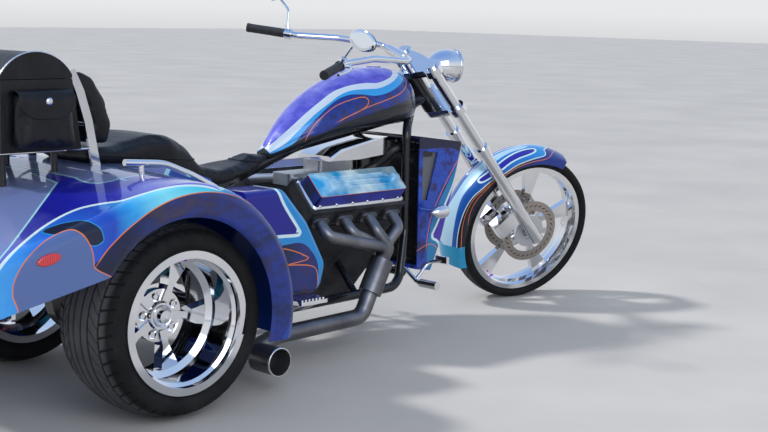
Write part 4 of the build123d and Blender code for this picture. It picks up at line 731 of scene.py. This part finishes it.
# Valve covers: cast boxes bolted along the heads, painted dark blue with a bright top. The flange
# round each is left bare and polished.
cover_paint = Finish("cover_paint", Roughness=0.3, Coat_Roughness=0.04, **LACQUER)
lean = radians(45)
ENGINE_MID, COVER_FOOT = Vector((0.11, 0, 0.4)), 0.317
outward = abs(cover_paint.part("Y")) * sin(lean) + cover_paint.part("Z") * cos(lean)
rise = outward - (ENGINE_MID.z * cos(lean) + COVER_FOOT)
cover_top = cover_paint.ramp(
    cover_paint.noise(9.0, 2.0), [(0.4, 0.02, 0.34, 0.74), (0.62, 0.62, 0.84, 0.95)]
)
cover_side = cover_paint.ramp(
    cover_paint.noise(7.0, 3.0), [(0.35, 0.002, 0.003, 0.02), (0.6, 0.006, 0.014, 0.26)]
)
cover_colour = cover_paint.mix((0.058 - rise).inside(0.001), cover_side, (0.004, 0.004, 0.008))
cover_colour = cover_paint.mix((0.0605 - rise).inside(0.001), cover_colour, ORANGE)
cover_colour = cover_paint.mix((0.0625 - rise).inside(0.001), cover_colour, cover_top)
flange = (rise - 0.0105).inside(0.001)
cover_paint.give("Base Color", cover_paint.mix(flange, cover_colour, (0.72, 0.73, 0.76)))
cover_paint.give("Metallic", flange * 0.9 + 0.1)
cover_mesh = smoothed(divided("valve_covers", 1.0))
fitted("painted_valve_covers", cover_mesh, "chassis", cover_paint, ["valve_covers"])

# Tyres: black rubber with a few dust-brown traces. The wide rear ones have four grooves round the
# tread with slanted cuts between them and open shoulder blocks; the thin front one is nearly bald.
REAR_R, REAR_W, REAR_X, REAR_Y = 0.325, 0.305, -0.98, 0.477
FRONT_R, FRONT_W = 0.35, 0.13


def arc_through(a, b, c, steps):
    """Points along the arc from a through b to c."""
    (ax, ay), (bx, by), (cx, cy) = a, b, c
    d = 2 * (ax * (by - cy) + bx * (cy - ay) + cx * (ay - by))
    aa, bb, cc = ax**2 + ay**2, bx**2 + by**2, cx**2 + cy**2
    ux = (aa * (by - cy) + bb * (cy - ay) + cc * (ay - by)) / d
    uy = (aa * (cx - bx) + bb * (ax - cx) + cc * (bx - ax)) / d
    first, last = atan2(ay - uy, ax - ux), atan2(cy - uy, cx - ux)
    sweep = (last - first + pi) % (2 * pi) - pi
    radius = hypot(ax - ux, ay - uy)
    turns = [first + sweep * i / steps for i in range(steps + 1)]
    return [(ux + radius * cos(turn), uy + radius * sin(turn)) for turn in turns]


def tyre_mesh(name, radius, width, seat, bead, lip, turns, cut):
    """A tyre round the y axis through the origin; cut gives the tread's depth by place."""
    half, shoulder = width / 2, (0.42 * width, radius - 0.075 * width)
    wall = arc_through((bead, lip), (half, lip + 0.4 * (radius - lip)), shoulder, 14)
    crown = arc_through(shoulder, (0, radius), (-shoulder[0], shoulder[1]), 64)
    path = [(-bead, seat), (bead, seat), *wall[:-1], *crown, *[(-y, r) for y, r in wall[::-1][1:]]]
    y, r = np.array(path).T
    angle = np.arange(turns) * 2 * pi / turns
    yy, rr = np.tile(y, (turns, 1)), np.tile(r, (turns, 1))
    depth = np.where(rr > shoulder[1] - 0.012, cut(yy, angle[:, None] * radius), 0)
    worn = np.clip((rr - shoulder[1]) / 0.006, 0, 1) * np.clip(1 - depth / 0.002, 0, 1)
    rr = rr - depth
    spokes = rr * np.cos(angle)[:, None], yy, rr * np.sin(angle)[:, None]
    count = len(path)
    first = np.arange(turns * count).reshape(turns, count)
    onward = np.roll(first, -1, 0)
    corners = first, np.roll(first, -1, 1), np.roll(onward, -1, 1), onward
    faces = np.stack(corners, 2).reshape(-1, 4)
    mesh = bpy.data.meshes.new(name)
    mesh.from_pydata(np.stack(spokes, 2).reshape(-1, 3).tolist(), [], faces.tolist())
    mesh.attributes.new("worn", "FLOAT", "POINT").data.foreach_set("value", worn.ravel())
    return mesh


def ridge(distance, half, depth, soft=0.0012):
    return depth * np.clip((half - np.abs(distance)) / soft, 0, 1)


def slanted(y, along, pitch, slope):
    """How far each place is from the middle of the nearest slanted cut."""
    return np.mod(along + slope * np.abs(y) + (y > 0) * pitch / 2, pitch) - pitch / 2


def rear_tread(y, along):
    pitch = 2 * pi * REAR_R / 45
    grooves = sum(ridge(np.abs(y) - at, 0.0045, 0.006) for at in (0.018, 0.052, 0.094))
    sipes = ridge(slanted(y, along, pitch, 1.3), 0.0024, 0.0045, 0.001)
    sipes = sipes * (np.abs(y) > 0.056) * (np.abs(y) < 0.09)
    blocks = ridge(slanted(y, along, pitch, -0.35), 0.004, 0.005) * (np.abs(y) > 0.098)
    return np.maximum(np.maximum(grooves, sipes), blocks)


def front_tread(y, along):
    cuts = ridge(slanted(y, along, 2 * pi * FRONT_R / 48, 1.6), 0.003, 0.004)
    return np.maximum(ridge(y, 0.003, 0.004), cuts * (np.abs(y) > 0.014) * (np.abs(y) < 0.046))


tread_rubber = Finish("tread_rubber", Specular_IOR_Level=0.14)
dust = tread_rubber.noise(9.0, 6.0, 0.65)
walls = tread_rubber.ramp(
    dust, [(0.35, 0.008, 0.008, 0.009), (0.62, 0.015, 0.015, 0.016), (0.8, 0.028, 0.026, 0.024)]
)
scuffed = tread_rubber.ramp(
    dust, [(0.35, 0.055, 0.058, 0.066), (0.62, 0.085, 0.087, 0.095), (0.8, 0.115, 0.112, 0.11)]
)
tread_rubber.give("Base Color", tread_rubber.mix(tread_rubber.kept("worn"), walls, scuffed))
tread_rubber.uneven(0.55, 0.3, 30.0)
tread_rubber.bump(tread_rubber.noise(420.0, 3.0), 0.0005, 0.6)
rear_mesh = tyre_mesh("rear", REAR_R, REAR_W, 0.2183, 0.139, 0.2395, 720, rear_tread)
for side, name in ((-1, "right"), (1, "left")):
    mesh = rear_mesh.copy()
    facing = Matrix.Rotation(0 if side > 0 else pi, 4, "Z")
    mesh.transform(Matrix.Translation((REAR_X, side * REAR_Y, REAR_R)) @ facing)
    fitted(
        "tread_tyre_" + name, smoothed(mesh, 40), "rear_wheel_" + name, tread_rubber,
        ["rear_tyre_" + name],
    )
front_mesh = tyre_mesh("front", FRONT_R, FRONT_W, 0.2893, 0.044, 0.305, 480, front_tread)
front_mesh.transform(steered @ Matrix.Translation((AXLE_X, 0, AXLE_Z)))
fitted(
    "tread_tyre_front", smoothed(front_mesh, 40), "front_wheel", tread_rubber,
    ["front_tyre"],
)

# Valve caps: small turned caps of violet anodised aluminium, one to a wheel. Each is screwed on
# the stem that comes through the wheel's rim.
violet_cap = Finish("violet_anodised", Metallic=0.9, Roughness=0.25)
violet_cap.tones(300.0, 2.0, (0.35, 0.05, 0.75), (0.5, 0.12, 0.9))


def joined(form, rings):
    """Adds the faces between neighbouring rings of points."""
    for low, high in zip(rings, rings[1:]):
        for i in range(len(low)):
            form.faces.new((low[i - 1], low[i], high[i], high[i - 1]))


def turned(form, profile, place, axis, steps=40, ring=False):
    """Adds a turned piece to a mesh in the making: (along, radius) pairs round its axis."""
    at = Matrix.Translation(place) @ Vector(axis).to_track_quat("Z", "Y").to_matrix().to_4x4()
    rings = []
    turns = [2 * pi * i / steps for i in range(steps)]
    for along, radius in profile:
        spots = [Vector((radius * cos(turn), radius * sin(turn), along)) for turn in turns]
        rings.append([form.verts.new(at @ spot) for spot in spots])
    joined(form, rings + rings[:1] if ring else rings)
    if not ring:
        form.faces.new(rings[0][::-1])
        form.faces.new(rings[-1])


def finished(name, form, body, finish, replaces=(), angle=32):
    """Turns a mesh in the making into a piece on that body."""
    bmesh.ops.recalc_face_normals(form, faces=form.faces)
    return fitted(name, smoothed(as_mesh(form, name), angle), body, finish, replaces)


CAP = [
    (-0.006, 0.0034), (0.004, 0.0034), (0.0045, 0.0048), (0.014, 0.0048), (0.0165, 0.0036),
    (0.018, 0.0012)
]
for side, name in ((-1, "right"), (1, "left")):
    form = bmesh.new()
    turned(form, CAP, (-0.9745, side * 0.588, REAR_R + 0.2105), (0, side * 0.75, -0.66), 20)
    finished("valve_cap_" + name, form, "rear_wheel_" + name, violet_cap)
form = bmesh.new()
valve = steered @ Matrix.Translation((AXLE_X, 0, AXLE_Z)) @ Vector((-0.134, -0.03, -0.2415))
turned(form, CAP, valve, steered.to_3x3() @ Vector((0.42, -0.5, 0.757)), 20)
finished("valve_cap_front", form, "front_wheel", violet_cap)

# Seat and backrest: foam under stretched black leather, sewn with a welt along the sides. The
# leather creases a little where the rear part steps down to the front one.
leather = Finish("black_leather", Specular_IOR_Level=0.22, Coat_Weight=0.08, Coat_Roughness=0.25)
hide = leather.noise(11.0, 5.0, 0.6)
leather.give(
    "Base Color", leather.ramp(hide, [(0.3, 0.004, 0.004, 0.005), (0.7, 0.011, 0.011, 0.014)])
)
leather.uneven(0.36, 0.16, 24.0, 3.0)
pores = {"Vector": leather.place(), "Scale": 520.0}
grain = leather.node("ShaderNodeTexVoronoi", {"feature": "SMOOTH_F1"}, pores, out="Distance")
crease = leather.noise(9.0, 3.0, 0.55, (3.2, 1.0, 1.0))
leather.bump(crease * 4.0 + grain * 0.35, 0.0016, 0.55)


def evaluated(thing):
    """The object's mesh with its modifiers worked out."""
    return bpy.data.meshes.new_from_object(
        thing.evaluated_get(bpy.context.evaluated_depsgraph_get())
    )


def placed(mesh):
    helper = bpy.data.objects.new("helper", mesh)
    scene.collection.objects.link(helper)
    return helper


def swollen(node, voxel, ease, cap, floor_z):
    """A soft CAD solid's shape as foam under its cover: remeshed, eased and blown up a little."""
    helper = placed(as_mesh(merged(node), node))
    remesh = helper.modifiers.new("remesh", "REMESH")
    remesh.mode, remesh.voxel_size = "VOXEL", voxel
    helper.modifiers.new("ease", "SMOOTH").iterations = ease
    helper.data = evaluated(helper)
    helper.modifiers.clear()
    start = np.array([v.co[:] for v in helper.data.vertices])
    cloth = helper.modifiers.new("cloth", "CLOTH")
    cloth.settings.use_pressure = True
    cloth.settings.uniform_pressure_force = 4
    cloth.settings.effector_weights.gravity = 0
    for step in range(1, 21):
        scene.frame_set(step)
    blown = evaluated(helper)
    helper.modifiers.clear()
    scene.frame_set(1)
    move = np.array([v.co[:] for v in blown.vertices]) - start
    size = np.linalg.norm(move, axis=1)[:, None]
    move *= np.minimum(1, cap / np.maximum(size, 1e-9))
    move[:, 2] = np.maximum(move[:, 2], np.minimum(0, floor_z - start[:, 2]))
    helper.data.vertices.foreach_set("co", (start + move).ravel())
    helper.modifiers.new("round", "SUBSURF").levels = 1
    mesh = evaluated(helper)
    bpy.data.objects.remove(helper)
    return mesh


def tubing(points, radius, closed=False):
    """A mesh rod along a smooth line of points."""
    curve = bpy.data.curves.new("rod", "CURVE")
    curve.dimensions, curve.bevel_depth, curve.bevel_resolution = "3D", radius, 3
    curve.use_fill_caps = True
    spline = curve.splines.new("NURBS")
    spline.points.add(len(points) - 1)
    for spot, point in zip(spline.points, points):
        spot.co = (*point, 1)
    spline.order_u, spline.use_endpoint_u, spline.use_cyclic_u = 3, not closed, closed
    spline.resolution_u = 6
    helper = placed(curve)
    mesh = evaluated(helper)
    bpy.data.objects.remove(helper)
    return mesh


def seam(mesh, place, normal, radius, lift):
    """A round welt where a plane cuts the mesh."""
    form = bmesh.new()
    form.from_mesh(mesh)
    everything = [*form.verts, *form.edges, *form.faces]
    cut = bmesh.ops.bisect_plane(form, geom=everything, plane_co=place, plane_no=normal)["geom_cut"]
    welt = bmesh.new()
    links = {}
    for edge in cut:
        if isinstance(edge, bmesh.types.BMEdge):
            a, b = edge.verts
            links.setdefault(a, []).append(b)
            links.setdefault(b, []).append(a)
    left = set(links)
    while left:
        start = left.pop()
        loop, here = [start], start
        while True:
            onward = [vert for vert in links[here] if vert in left]
            if not onward:
                break
            here = onward[0]
            left.discard(here)
            loop.append(here)
        spots = [vert.co + vert.normal * lift for vert in loop][::3]
        if len(spots) > 8:
            welt.from_mesh(tubing(spots, radius, closed=len(spots) * 3 > len(loop) - 3))
    form.free()
    return welt


for node, voxel, ease, cap, base_z, welts in (
    (
        "seat", 0.0085, 34, 0.014, 0.66,
        [((-0.75, 0, 0.8), (0.1, 0, 1)), ((-0.25, 0, 0.715), (-0.55, 0, 1))],
    ),
    ("backrest_pad", 0.0065, 24, 0.012, 0.86, [((-1.023, 0, 0.882), (0.96, 0, 0.28))]),
):
    mesh = swollen(node, voxel, ease, cap, base_z)
    welt = bmesh.new()
    for place, normal in welts:
        welt.from_mesh(as_mesh(seam(mesh, place, normal, 0.0028, 0.0006), "welt"))
    fitted("leather_" + node, smoothed(mesh, 180), "chassis", leather, [node])
    finished(node + "_welt", welt, "chassis", leather, angle=180)

# Trunk: a stiff box and arched lid covered in black leather, with silver piping round the lid's
# ends, two flat studs on its crown and a flapped pouch strapped to each end.
def covered(node, width):
    """A CAD solid with its edges rounded as leather folds over them."""
    form = merged(node)
    bmesh.ops.dissolve_limit(form, angle_limit=radians(4), verts=form.verts, edges=form.edges)
    whole = [edge for edge in form.edges if len(edge.link_faces) == 2 and edge.calc_length() > 0.04]
    sharp = [edge for edge in whole if edge.calc_face_angle(0) > radians(50)]
    bmesh.ops.bevel(
        form, geom=sharp, offset=width, segments=4, profile=0.5, affect="EDGES", clamp_overlap=True
    )
    return form


finished(
    "leather_trunk_box", covered("trunk_box", 0.004), "chassis", leather, ["trunk_box"]
)
finished("leather_trunk_lid", covered("trunk_lid", 0.004), "lid", leather, ["trunk_lid"])
LID_REAR, LID_FRONT, LID_LOW, LID_TOP = -1.42, -1.162, 1.104, 1.176
silver = Finish("silver_trim", Metallic=1.0)
silver.tones(60.0, 2.0, (0.62, 0.63, 0.66), (0.74, 0.75, 0.78))
silver.uneven(0.14, 0.12, 90.0)
CROWN_STUD = [(-0.002, 0.016), (0.0012, 0.016), (0.0026, 0.013), (0.003, 0.008)]
trim = bmesh.new()
arch = arc_through(
    (LID_FRONT, LID_LOW), ((LID_REAR + LID_FRONT) / 2, LID_TOP), (LID_REAR, LID_LOW), 20
)
for side in (-1, 1):
    line = [(x, side * 0.243, z + 0.0012) for x, z in arch]
    trim.from_mesh(tubing(line, 0.0032))
    turned(trim, CROWN_STUD, (-1.291, side * 0.222, LID_TOP - 0.0004), (0, 0, 1), 32)
finished("lid_trim", trim, "lid", silver, angle=50)

pouch_mesh = swollen("pouches", 0.0065, 9, 0.007, 0.0)
pouch = fitted(
    "leather_pouches", smoothed(pouch_mesh, 180), "chassis", leather, ["pouches"]
)
flaps, studs = bmesh.new(), bmesh.new()
FLAP_SIDE = [
    (0.253, 1.04), (0.256, 1.052), (0.275, 1.06), (0.298, 1.058), (0.313, 1.048), (0.321, 1.03),
    (0.323, 1.01), (0.323, 0.972)
]
POUCH_STUD = [(-0.004, 0.012), (0.003, 0.012), (0.0052, 0.01), (0.0068, 0.005), (0.0072, 0.001)]
FLAP_REAR, FLAP_LENGTH, FLAP_HINGE = -1.392, 0.196, 1.048
FLAP_POINTS, FLAP_SLICES = 21, 41
flap_y, flap_z = (
    np.interp(np.linspace(0, 7, FLAP_POINTS), range(8), values)
    for values in zip(*FLAP_SIDE)
)
for side in (-1, 1):
    grid = bmesh.new()
    rows = []
    for u in np.linspace(0, 1, FLAP_SLICES):
        drop = np.where(flap_y > 0.31, 1 - 0.55 * abs(2 * u - 1) ** 4, 1)
        fall = np.where(flap_z < FLAP_HINGE, FLAP_HINGE - (FLAP_HINGE - flap_z) * drop, flap_z)
        x = FLAP_REAR + FLAP_LENGTH * u
        rows.append([grid.verts.new((x, side * y, z)) for y, z in zip(flap_y, fall)])
    for a, b in zip(rows, rows[1:]):
        for k in range(FLAP_POINTS - 1):
            grid.faces.new((a[k], a[k + 1], b[k + 1], b[k]))
    bmesh.ops.recalc_face_normals(grid, faces=grid.faces)
    helper = placed(as_mesh(grid, "flap"))
    wrap = helper.modifiers.new("wrap", "SHRINKWRAP")
    wrap.target, wrap.wrap_mode, wrap.offset = pouch, "OUTSIDE", 0.0015
    laid = evaluated(helper)
    edge = [laid.vertices[i * FLAP_POINTS + FLAP_POINTS - 1].co for i in range(FLAP_SLICES)]
    flaps.from_mesh(tubing(edge[::2], 0.0024))
    stud_at = laid.vertices[FLAP_SLICES // 2 * FLAP_POINTS + FLAP_POINTS - 6].co
    thick = helper.modifiers.new("thick", "SOLIDIFY")
    thick.thickness, thick.offset = 0.003, 0
    flaps.from_mesh(evaluated(helper))
    bpy.data.objects.remove(helper)
    turned(studs, POUCH_STUD, stud_at, (0, side, 0), 28)
finished("pouch_flaps", flaps, "chassis", leather, angle=60)
finished("pouch_studs", studs, "chassis", silver, angle=40)

# Lamps and mirrors: clear domed glass, moulded with fine flutes and held by a rolled rim, in the
# headlamp, and flat oval silvered glass set into the mirrors' shells.
glass = Finish("clear_lens", Roughness=0.03, Coat_Weight=1.0, Coat_Roughness=0.01)
# The glass is opaque here: its pale grey, brighter along each flute, is painted reflection and
# glint in place of clear glass.
flutes = (glass.part("Y") * 700).wave() * 0.5 + 0.5
glass.give("Base Color", glass.mix(flutes, (0.5, 0.54, 0.58), (0.82, 0.86, 0.9)))
glass.bump(flutes, 0.0006, 0.6)
silvered = Finish("silvered_glass", Metallic=1.0)
silvered.tones(3.0, 2.0, (0.74, 0.78, 0.82), (0.8, 0.84, 0.87))
silvered.uneven(0.015, 0.02, 12.0)
LENS = [
    (-0.004, 0.059), (0.004, 0.058), (0.012, 0.05), (0.017, 0.036), (0.0195, 0.018), (0.02, 0.002)
]
RIM = [
    (-0.008, 0.0695), (-0.009, 0.0705), (-0.003, 0.0725), (0.003, 0.0715), (0.0045, 0.066),
    (0.004, 0.06), (-0.002, 0.0585)
]
lamp_at, lamp_way = steered @ Vector((0.882, 0, 1.102)), steered.to_3x3() @ Vector((1, 0, 0))
for name, profile, finish in (("headlamp_lens", LENS, glass), ("headlamp_rim", RIM, silver)):
    form = bmesh.new()
    turned(form, profile, lamp_at, lamp_way, 64, ring=profile is RIM)
    finished(name, form, "fork", finish, angle=60)
GLASS_HALF_W, GLASS_HALF_H = 0.076, 0.042
GLASS_STEPS = [(-0.006, 0.955), (-0.0025, 0.955), (-0.0015, 0.94), (-0.001, 0.6), (-0.0008, 0.05)]
glasses = bmesh.new()
for side in (-1, 1):
    centre = steered @ Vector((0.17, side * 0.4, 1.296))
    looking = steered.to_3x3() @ Vector((-1, side * 0.25, 0.12)).normalized()
    sideways = (steered.to_3x3() @ Vector((0.2 * side, 1, 0))).normalized()
    upward = looking.cross(sideways)
    rings = []
    for lift, share in GLASS_STEPS:
        wide, high = sideways * GLASS_HALF_W * share, upward * GLASS_HALF_H * share
        rings.append([
            glasses.verts.new(centre + looking * lift + wide * cos(a) + high * sin(a))
            for a in np.arange(56) * 2 * pi / 56
        ])
    joined(glasses, rings)
    glasses.faces.new(rings[-1])
    glasses.faces.new(rings[0][::-1])
finished("mirror_glass", glasses, "fork", silvered, angle=60)

# Outlets and fixings: a thin polished ring crimped on each black outlet's mouth, and domed chrome
# nuts along the valve covers' flanges.
CRIMP = [
    (-0.006, 0.0505), (-0.0055, 0.052), (-0.001, 0.0528), (0.002, 0.0515), (0.0028, 0.0495),
    (0.0022, 0.0478), (-0.004, 0.0474)
]
form = bmesh.new()
for side in (-1, 1):
    turned(form, CRIMP, (-0.536, side * 0.556, 0.111), (0, side, 0), 64, ring=True)
finished("outlet_rings", form, "chassis", silver, angle=60)
NUT = [
    (0, 0.0085), (0.002, 0.0085), (0.0022, 0.0066), (0.006, 0.0064), (0.0085, 0.0045),
    (0.0095, 0.0015)
]
NUT_EDGE, NUT_LIFT = 0.0615, 0.0095


def nut_row(inputs):
    """A mesh of nuts in a row along X, made by Geometry Nodes: as many each way from its middle."""
    tree = bpy.data.node_groups.new("nut_row", "GeometryNodeTree")
    tree.interface.new_socket("Row", in_out="OUTPUT", socket_type="NodeSocketGeometry")
    helper = placed(bpy.data.meshes.new("nut_row"))
    maker = helper.modifiers.new("nut_row", "NODES")
    keys = [
        tree.interface.new_socket(name, in_out="INPUT", socket_type="NodeSocket" + kind).identifier
        for name, (kind, value) in inputs.items()
    ]
    row = Finish("nut_row", tree=tree)
    given = {name: row.node("NodeGroupInput", out=name) for name in inputs}
    first, pitch = (
        row.node("ShaderNodeCombineXYZ", {}, {"X": given[name]}) for name in ("First", "Pitch")
    )
    seats = {"Count": given["Each Way"], "Start Location": first, "Offset": pitch}
    one_way = row.node("GeometryNodeMeshLine", {}, seats)
    half_turn = {"Geometry": one_way, "Rotation": (0, 0, pi)}
    other_way = row.node("GeometryNodeTransform", {}, half_turn)
    both = row.node("GeometryNodeJoinGeometry", {}, [one_way])
    row.link(both.socket.node.inputs[0], other_way)
    nut = row.node("GeometryNodeObjectInfo", {}, {"Object": given["Nut"]}, out="Geometry")
    nuts = row.node("GeometryNodeInstanceOnPoints", {}, {"Points": both, "Instance": nut})
    real = row.node("GeometryNodeRealizeInstances", {}, {"Geometry": nuts})
    metal = {"Geometry": real, "Material": given["Metal"]}
    row.node("NodeGroupOutput", {}, [row.node("GeometryNodeSetMaterial", {}, metal)])
    maker.node_group = tree
    for key, (kind, value) in zip(keys, inputs.values()):
        maker[key] = value
    mesh = evaluated(helper)
    bpy.data.objects.remove(helper)
    return mesh


form = bmesh.new()
turned(form, NUT, (0, 0, 0), (0, 0, 1), 16)
nut = placed(as_mesh(form, "nut"))
six_nuts = nut_row({
    "Nut": ("Object", nut), "Metal": ("Material", silver.material), "Each Way": ("Int", 3),
    "First": ("Float", 0.04), "Pitch": ("Float", 0.085)
})
bpy.data.objects.remove(nut)
form = bmesh.new()
for side in (-1, 1):
    out, down = Vector((0, side * sin(lean), cos(lean))), Vector((0, side * cos(lean), -sin(lean)))
    facing = out.to_track_quat("Z", "Y").to_matrix().to_4x4()
    for edge in (-NUT_EDGE, NUT_EDGE):
        middle = ENGINE_MID + out * (COVER_FOOT + NUT_LIFT) + down * edge
        flange_nuts = six_nuts.copy()
        flange_nuts.transform(Matrix.Translation(middle) @ facing)
        form.from_mesh(flange_nuts)
finished("cover_nuts", form, "chassis", silver, angle=40)

# Shroud screens: thin perforated sheet metal, painted grey. One is fixed behind each side window
# of the radiator's shroud.
screen = Finish("perforated_sheet", Metallic=0.5, Roughness=0.45)
holes = ((screen.part("X") * 1256).wave() * (screen.part("Z") * 1256).wave())
# The holes are not cut: the grey sheet darkens to near black at each one as painted shade, and the
# bump dimples them.
grey_with_hole_shade = [(0.3, 0.2, 0.21, 0.23), (0.52, 0.17, 0.18, 0.2), (0.75, 0.05, 0.05, 0.06)]
screen.give("Base Color", screen.ramp(holes * 0.5 + 0.5, grey_with_hole_shade))
screen.bump(holes, 0.0006, 0.5)
WINDOW = [(0.53, 0.76), (0.642, 0.755), (0.64, 0.72), (0.572, 0.535), (0.535, 0.532)]
form = bmesh.new()
for y in (-0.1885, -0.1905, 0.1885, 0.1905):
    form.faces.new([form.verts.new((x, y, z)) for x, z in WINDOW])
finished("shroud_screens", form, "chassis", screen)

# Plain finishes for the pieces whose shape the frame already has: plated, cast, blackened or
# moulded, each with the small unevenness that its making leaves. The rotor's holes are painted
# shade and the red lens's ribs carry painted glints.
chrome = Finish("chrome", Metallic=1.0)
chrome.tones(7.0, 4.0, (0.7, 0.71, 0.74), (0.8, 0.8, 0.81))
chrome.uneven(0.03, 0.05, 40.0, 3.0)
chrome.bump(chrome.noise(22.0, 2.0), 0.0004, 0.25)

rack_metal = Finish("rack_metal")
legs = (rack_metal.part("Z") - 0.852).inside() * (rack_metal.part("X") + 1.12).inside()
bright = [(0.3, 0.7, 0.71, 0.74), (0.7, 0.8, 0.8, 0.81)]
plated = rack_metal.ramp(rack_metal.noise(7.0, 4.0), bright)
rack_metal.give("Base Color", rack_metal.mix(legs, plated, (0.01, 0.01, 0.013)))
rack_metal.give("Metallic", 1 - legs)
rack_metal.give("Roughness", 0.05 + legs * 0.2 + rack_metal.noise(40.0, 3.0) * 0.05)
rack_metal.bump(rack_metal.noise(22.0, 2.0), 0.0004, 0.25)

gloss_black = Finish(
    "gloss_black", Specular_IOR_Level=0.2, Coat_Weight=0.8, Coat_IOR=1.4, Coat_Roughness=0.06
)
gloss_black.tones(6.0, 2.0, (0.006, 0.006, 0.008), (0.012, 0.012, 0.018))
gloss_black.uneven(0.22, 0.1, 30.0)

iron = Finish("engine_enamel", Metallic=0.2, Specular_IOR_Level=0.3)
iron.tones(16.0, 6.0, (0.015, 0.015, 0.018), (0.045, 0.045, 0.052), (0.35, 0.65))
iron.uneven(0.42, 0.2, 60.0)
iron.bump(iron.noise(300.0, 2.0), 0.0005, 0.6)

alloy = Finish("cast_alloy", Metallic=0.9)
alloy.tones(12.0, 5.0, (0.36, 0.37, 0.39), (0.52, 0.53, 0.55))
alloy.uneven(0.3, 0.2, 50.0, 3.0)
alloy.bump(alloy.noise(260.0, 3.0), 0.0004, 0.5)

header = Finish("satin_header", Metallic=0.85)
burnt = [(0.3, 0.1, 0.1, 0.115), (0.6, 0.2, 0.2, 0.215), (0.8, 0.3, 0.28, 0.26)]
header.give("Base Color", header.ramp(header.noise(8.0, 4.0), burnt))
header.uneven(0.3, 0.14, 30.0, 3.0)
header.bump(header.noise(120.0, 3.0), 0.0003, 0.4)

rotor = Finish("rotor_steel", Metallic=0.8, Roughness=0.38)
wheel_place = (steered @ Matrix.Translation((AXLE_X, 0, AXLE_Z))).inverted()
settings = {
    "Vector": rotor.place(),
    "Location": tuple(wheel_place.translation),
    "Rotation": tuple(wheel_place.to_euler()),
}
in_wheel = rotor.node("ShaderNodeMapping", {}, settings)
wheel_x, wheel_z = rotor.axis(in_wheel, "X"), rotor.axis(in_wheel, "Z")
reach_out = rotor.math("SQRT", wheel_x * wheel_x + wheel_z * wheel_z)
spin = rotor.math("ARCTAN2", wheel_z, wheel_x)
row = (reach_out - 0.124) * 140
# The drilled holes are painted on: near-black dots in a band round the disc are painted shade where
# the holes would be.
hole_shade = (spin * 30 + row * 2.1).wave() * 0.5 + 0.5 - abs(row) * 0.35
sweep = rotor.ramp(
    (reach_out * 2400).wave() * 0.5 + 0.5, [(0.2, 0.3, 0.26, 0.23), (0.8, 0.46, 0.41, 0.37)]
)
swept = (0.1 - reach_out).inside(0.001)
rotor_tone = rotor.mix(swept, (0.62, 0.63, 0.65), sweep)
rotor.give(
    "Base Color", rotor.mix((0.7 - hole_shade).inside(0.12) * swept, rotor_tone, (0.02, 0.02, 0.02))
)

rubber = Finish("grip_rubber", Roughness=0.6)
rubber.tones(40.0, 2.0, (0.01, 0.01, 0.011), (0.022, 0.022, 0.024))
rubber.bump((rubber.part("X") * 1200).wave() * (rubber.part("Y") * 1200).wave(), 0.0006, 0.5)

hose_rubber = Finish("hose_rubber", Roughness=0.45)
hose_rubber.tones(25.0, 2.0, (0.01, 0.01, 0.011), (0.02, 0.02, 0.022))
hose_rubber.bump(hose_rubber.noise(90.0, 3.0), 0.0006, 0.5)

red_lens = Finish("red_lens", Roughness=0.08, Coat_Weight=1.0, Coat_Roughness=0.02)
# The lens's own red is painted brighter and darker in bands along its ribs: painted glints. The
# plate holder in the middle is plain black.
ribs = (red_lens.part("X") * 900).wave() * 0.5 + 0.5
holder = (abs(red_lens.part("Y")) - 0.1).inside()
red = red_lens.mix(ribs, (0.42, 0.006, 0.012), (0.75, 0.03, 0.04))
red_lens.give("Base Color", red_lens.mix(holder, red, (0.012, 0.012, 0.014)))
red_lens.bump(ribs, 0.0008, 0.5)

SLOT_FINISH = {
    "chrome": chrome,
    "black_metal": gloss_black,
    "engine": iron,
    "alloy": alloy,
    "header": header,
    "disc": rotor,
    "grip_rubber": rubber,
    "hose": hose_rubber,
    "lens_red": red_lens,
    "mirror_shell": chrome,
}
slots = {row["node"]: row["material_slot"] for row in frame["record"]["subparts"]}
for node, made in frame["nodes"].items():
    if slots[node] in SLOT_FINISH:
        finish = rack_metal if node == "luggage_rack" else SLOT_FINISH[slots[node]]
        made.data.materials.clear()
        made.data.materials.append(finish.material)
ROUNDED = {
    "intake_manifold": 0.004,
    "air_scoop": 0.005,
    "engine_block": 0.003,
    "gearbox": 0.003,
    "floorboards": 0.0015,
    "triple_clamps": 0.003,
}
for node, width in ROUNDED.items():
    made = frame["nodes"][node]
    made.modifiers.new("weld", "WELD").merge_threshold = MERGE
    round_edges = made.modifiers.new("round", "BEVEL")
    round_edges.width, round_edges.segments, round_edges.angle_limit = width, 2, radians(35)
    made.modifiers.new("shade", "WEIGHTED_NORMAL")
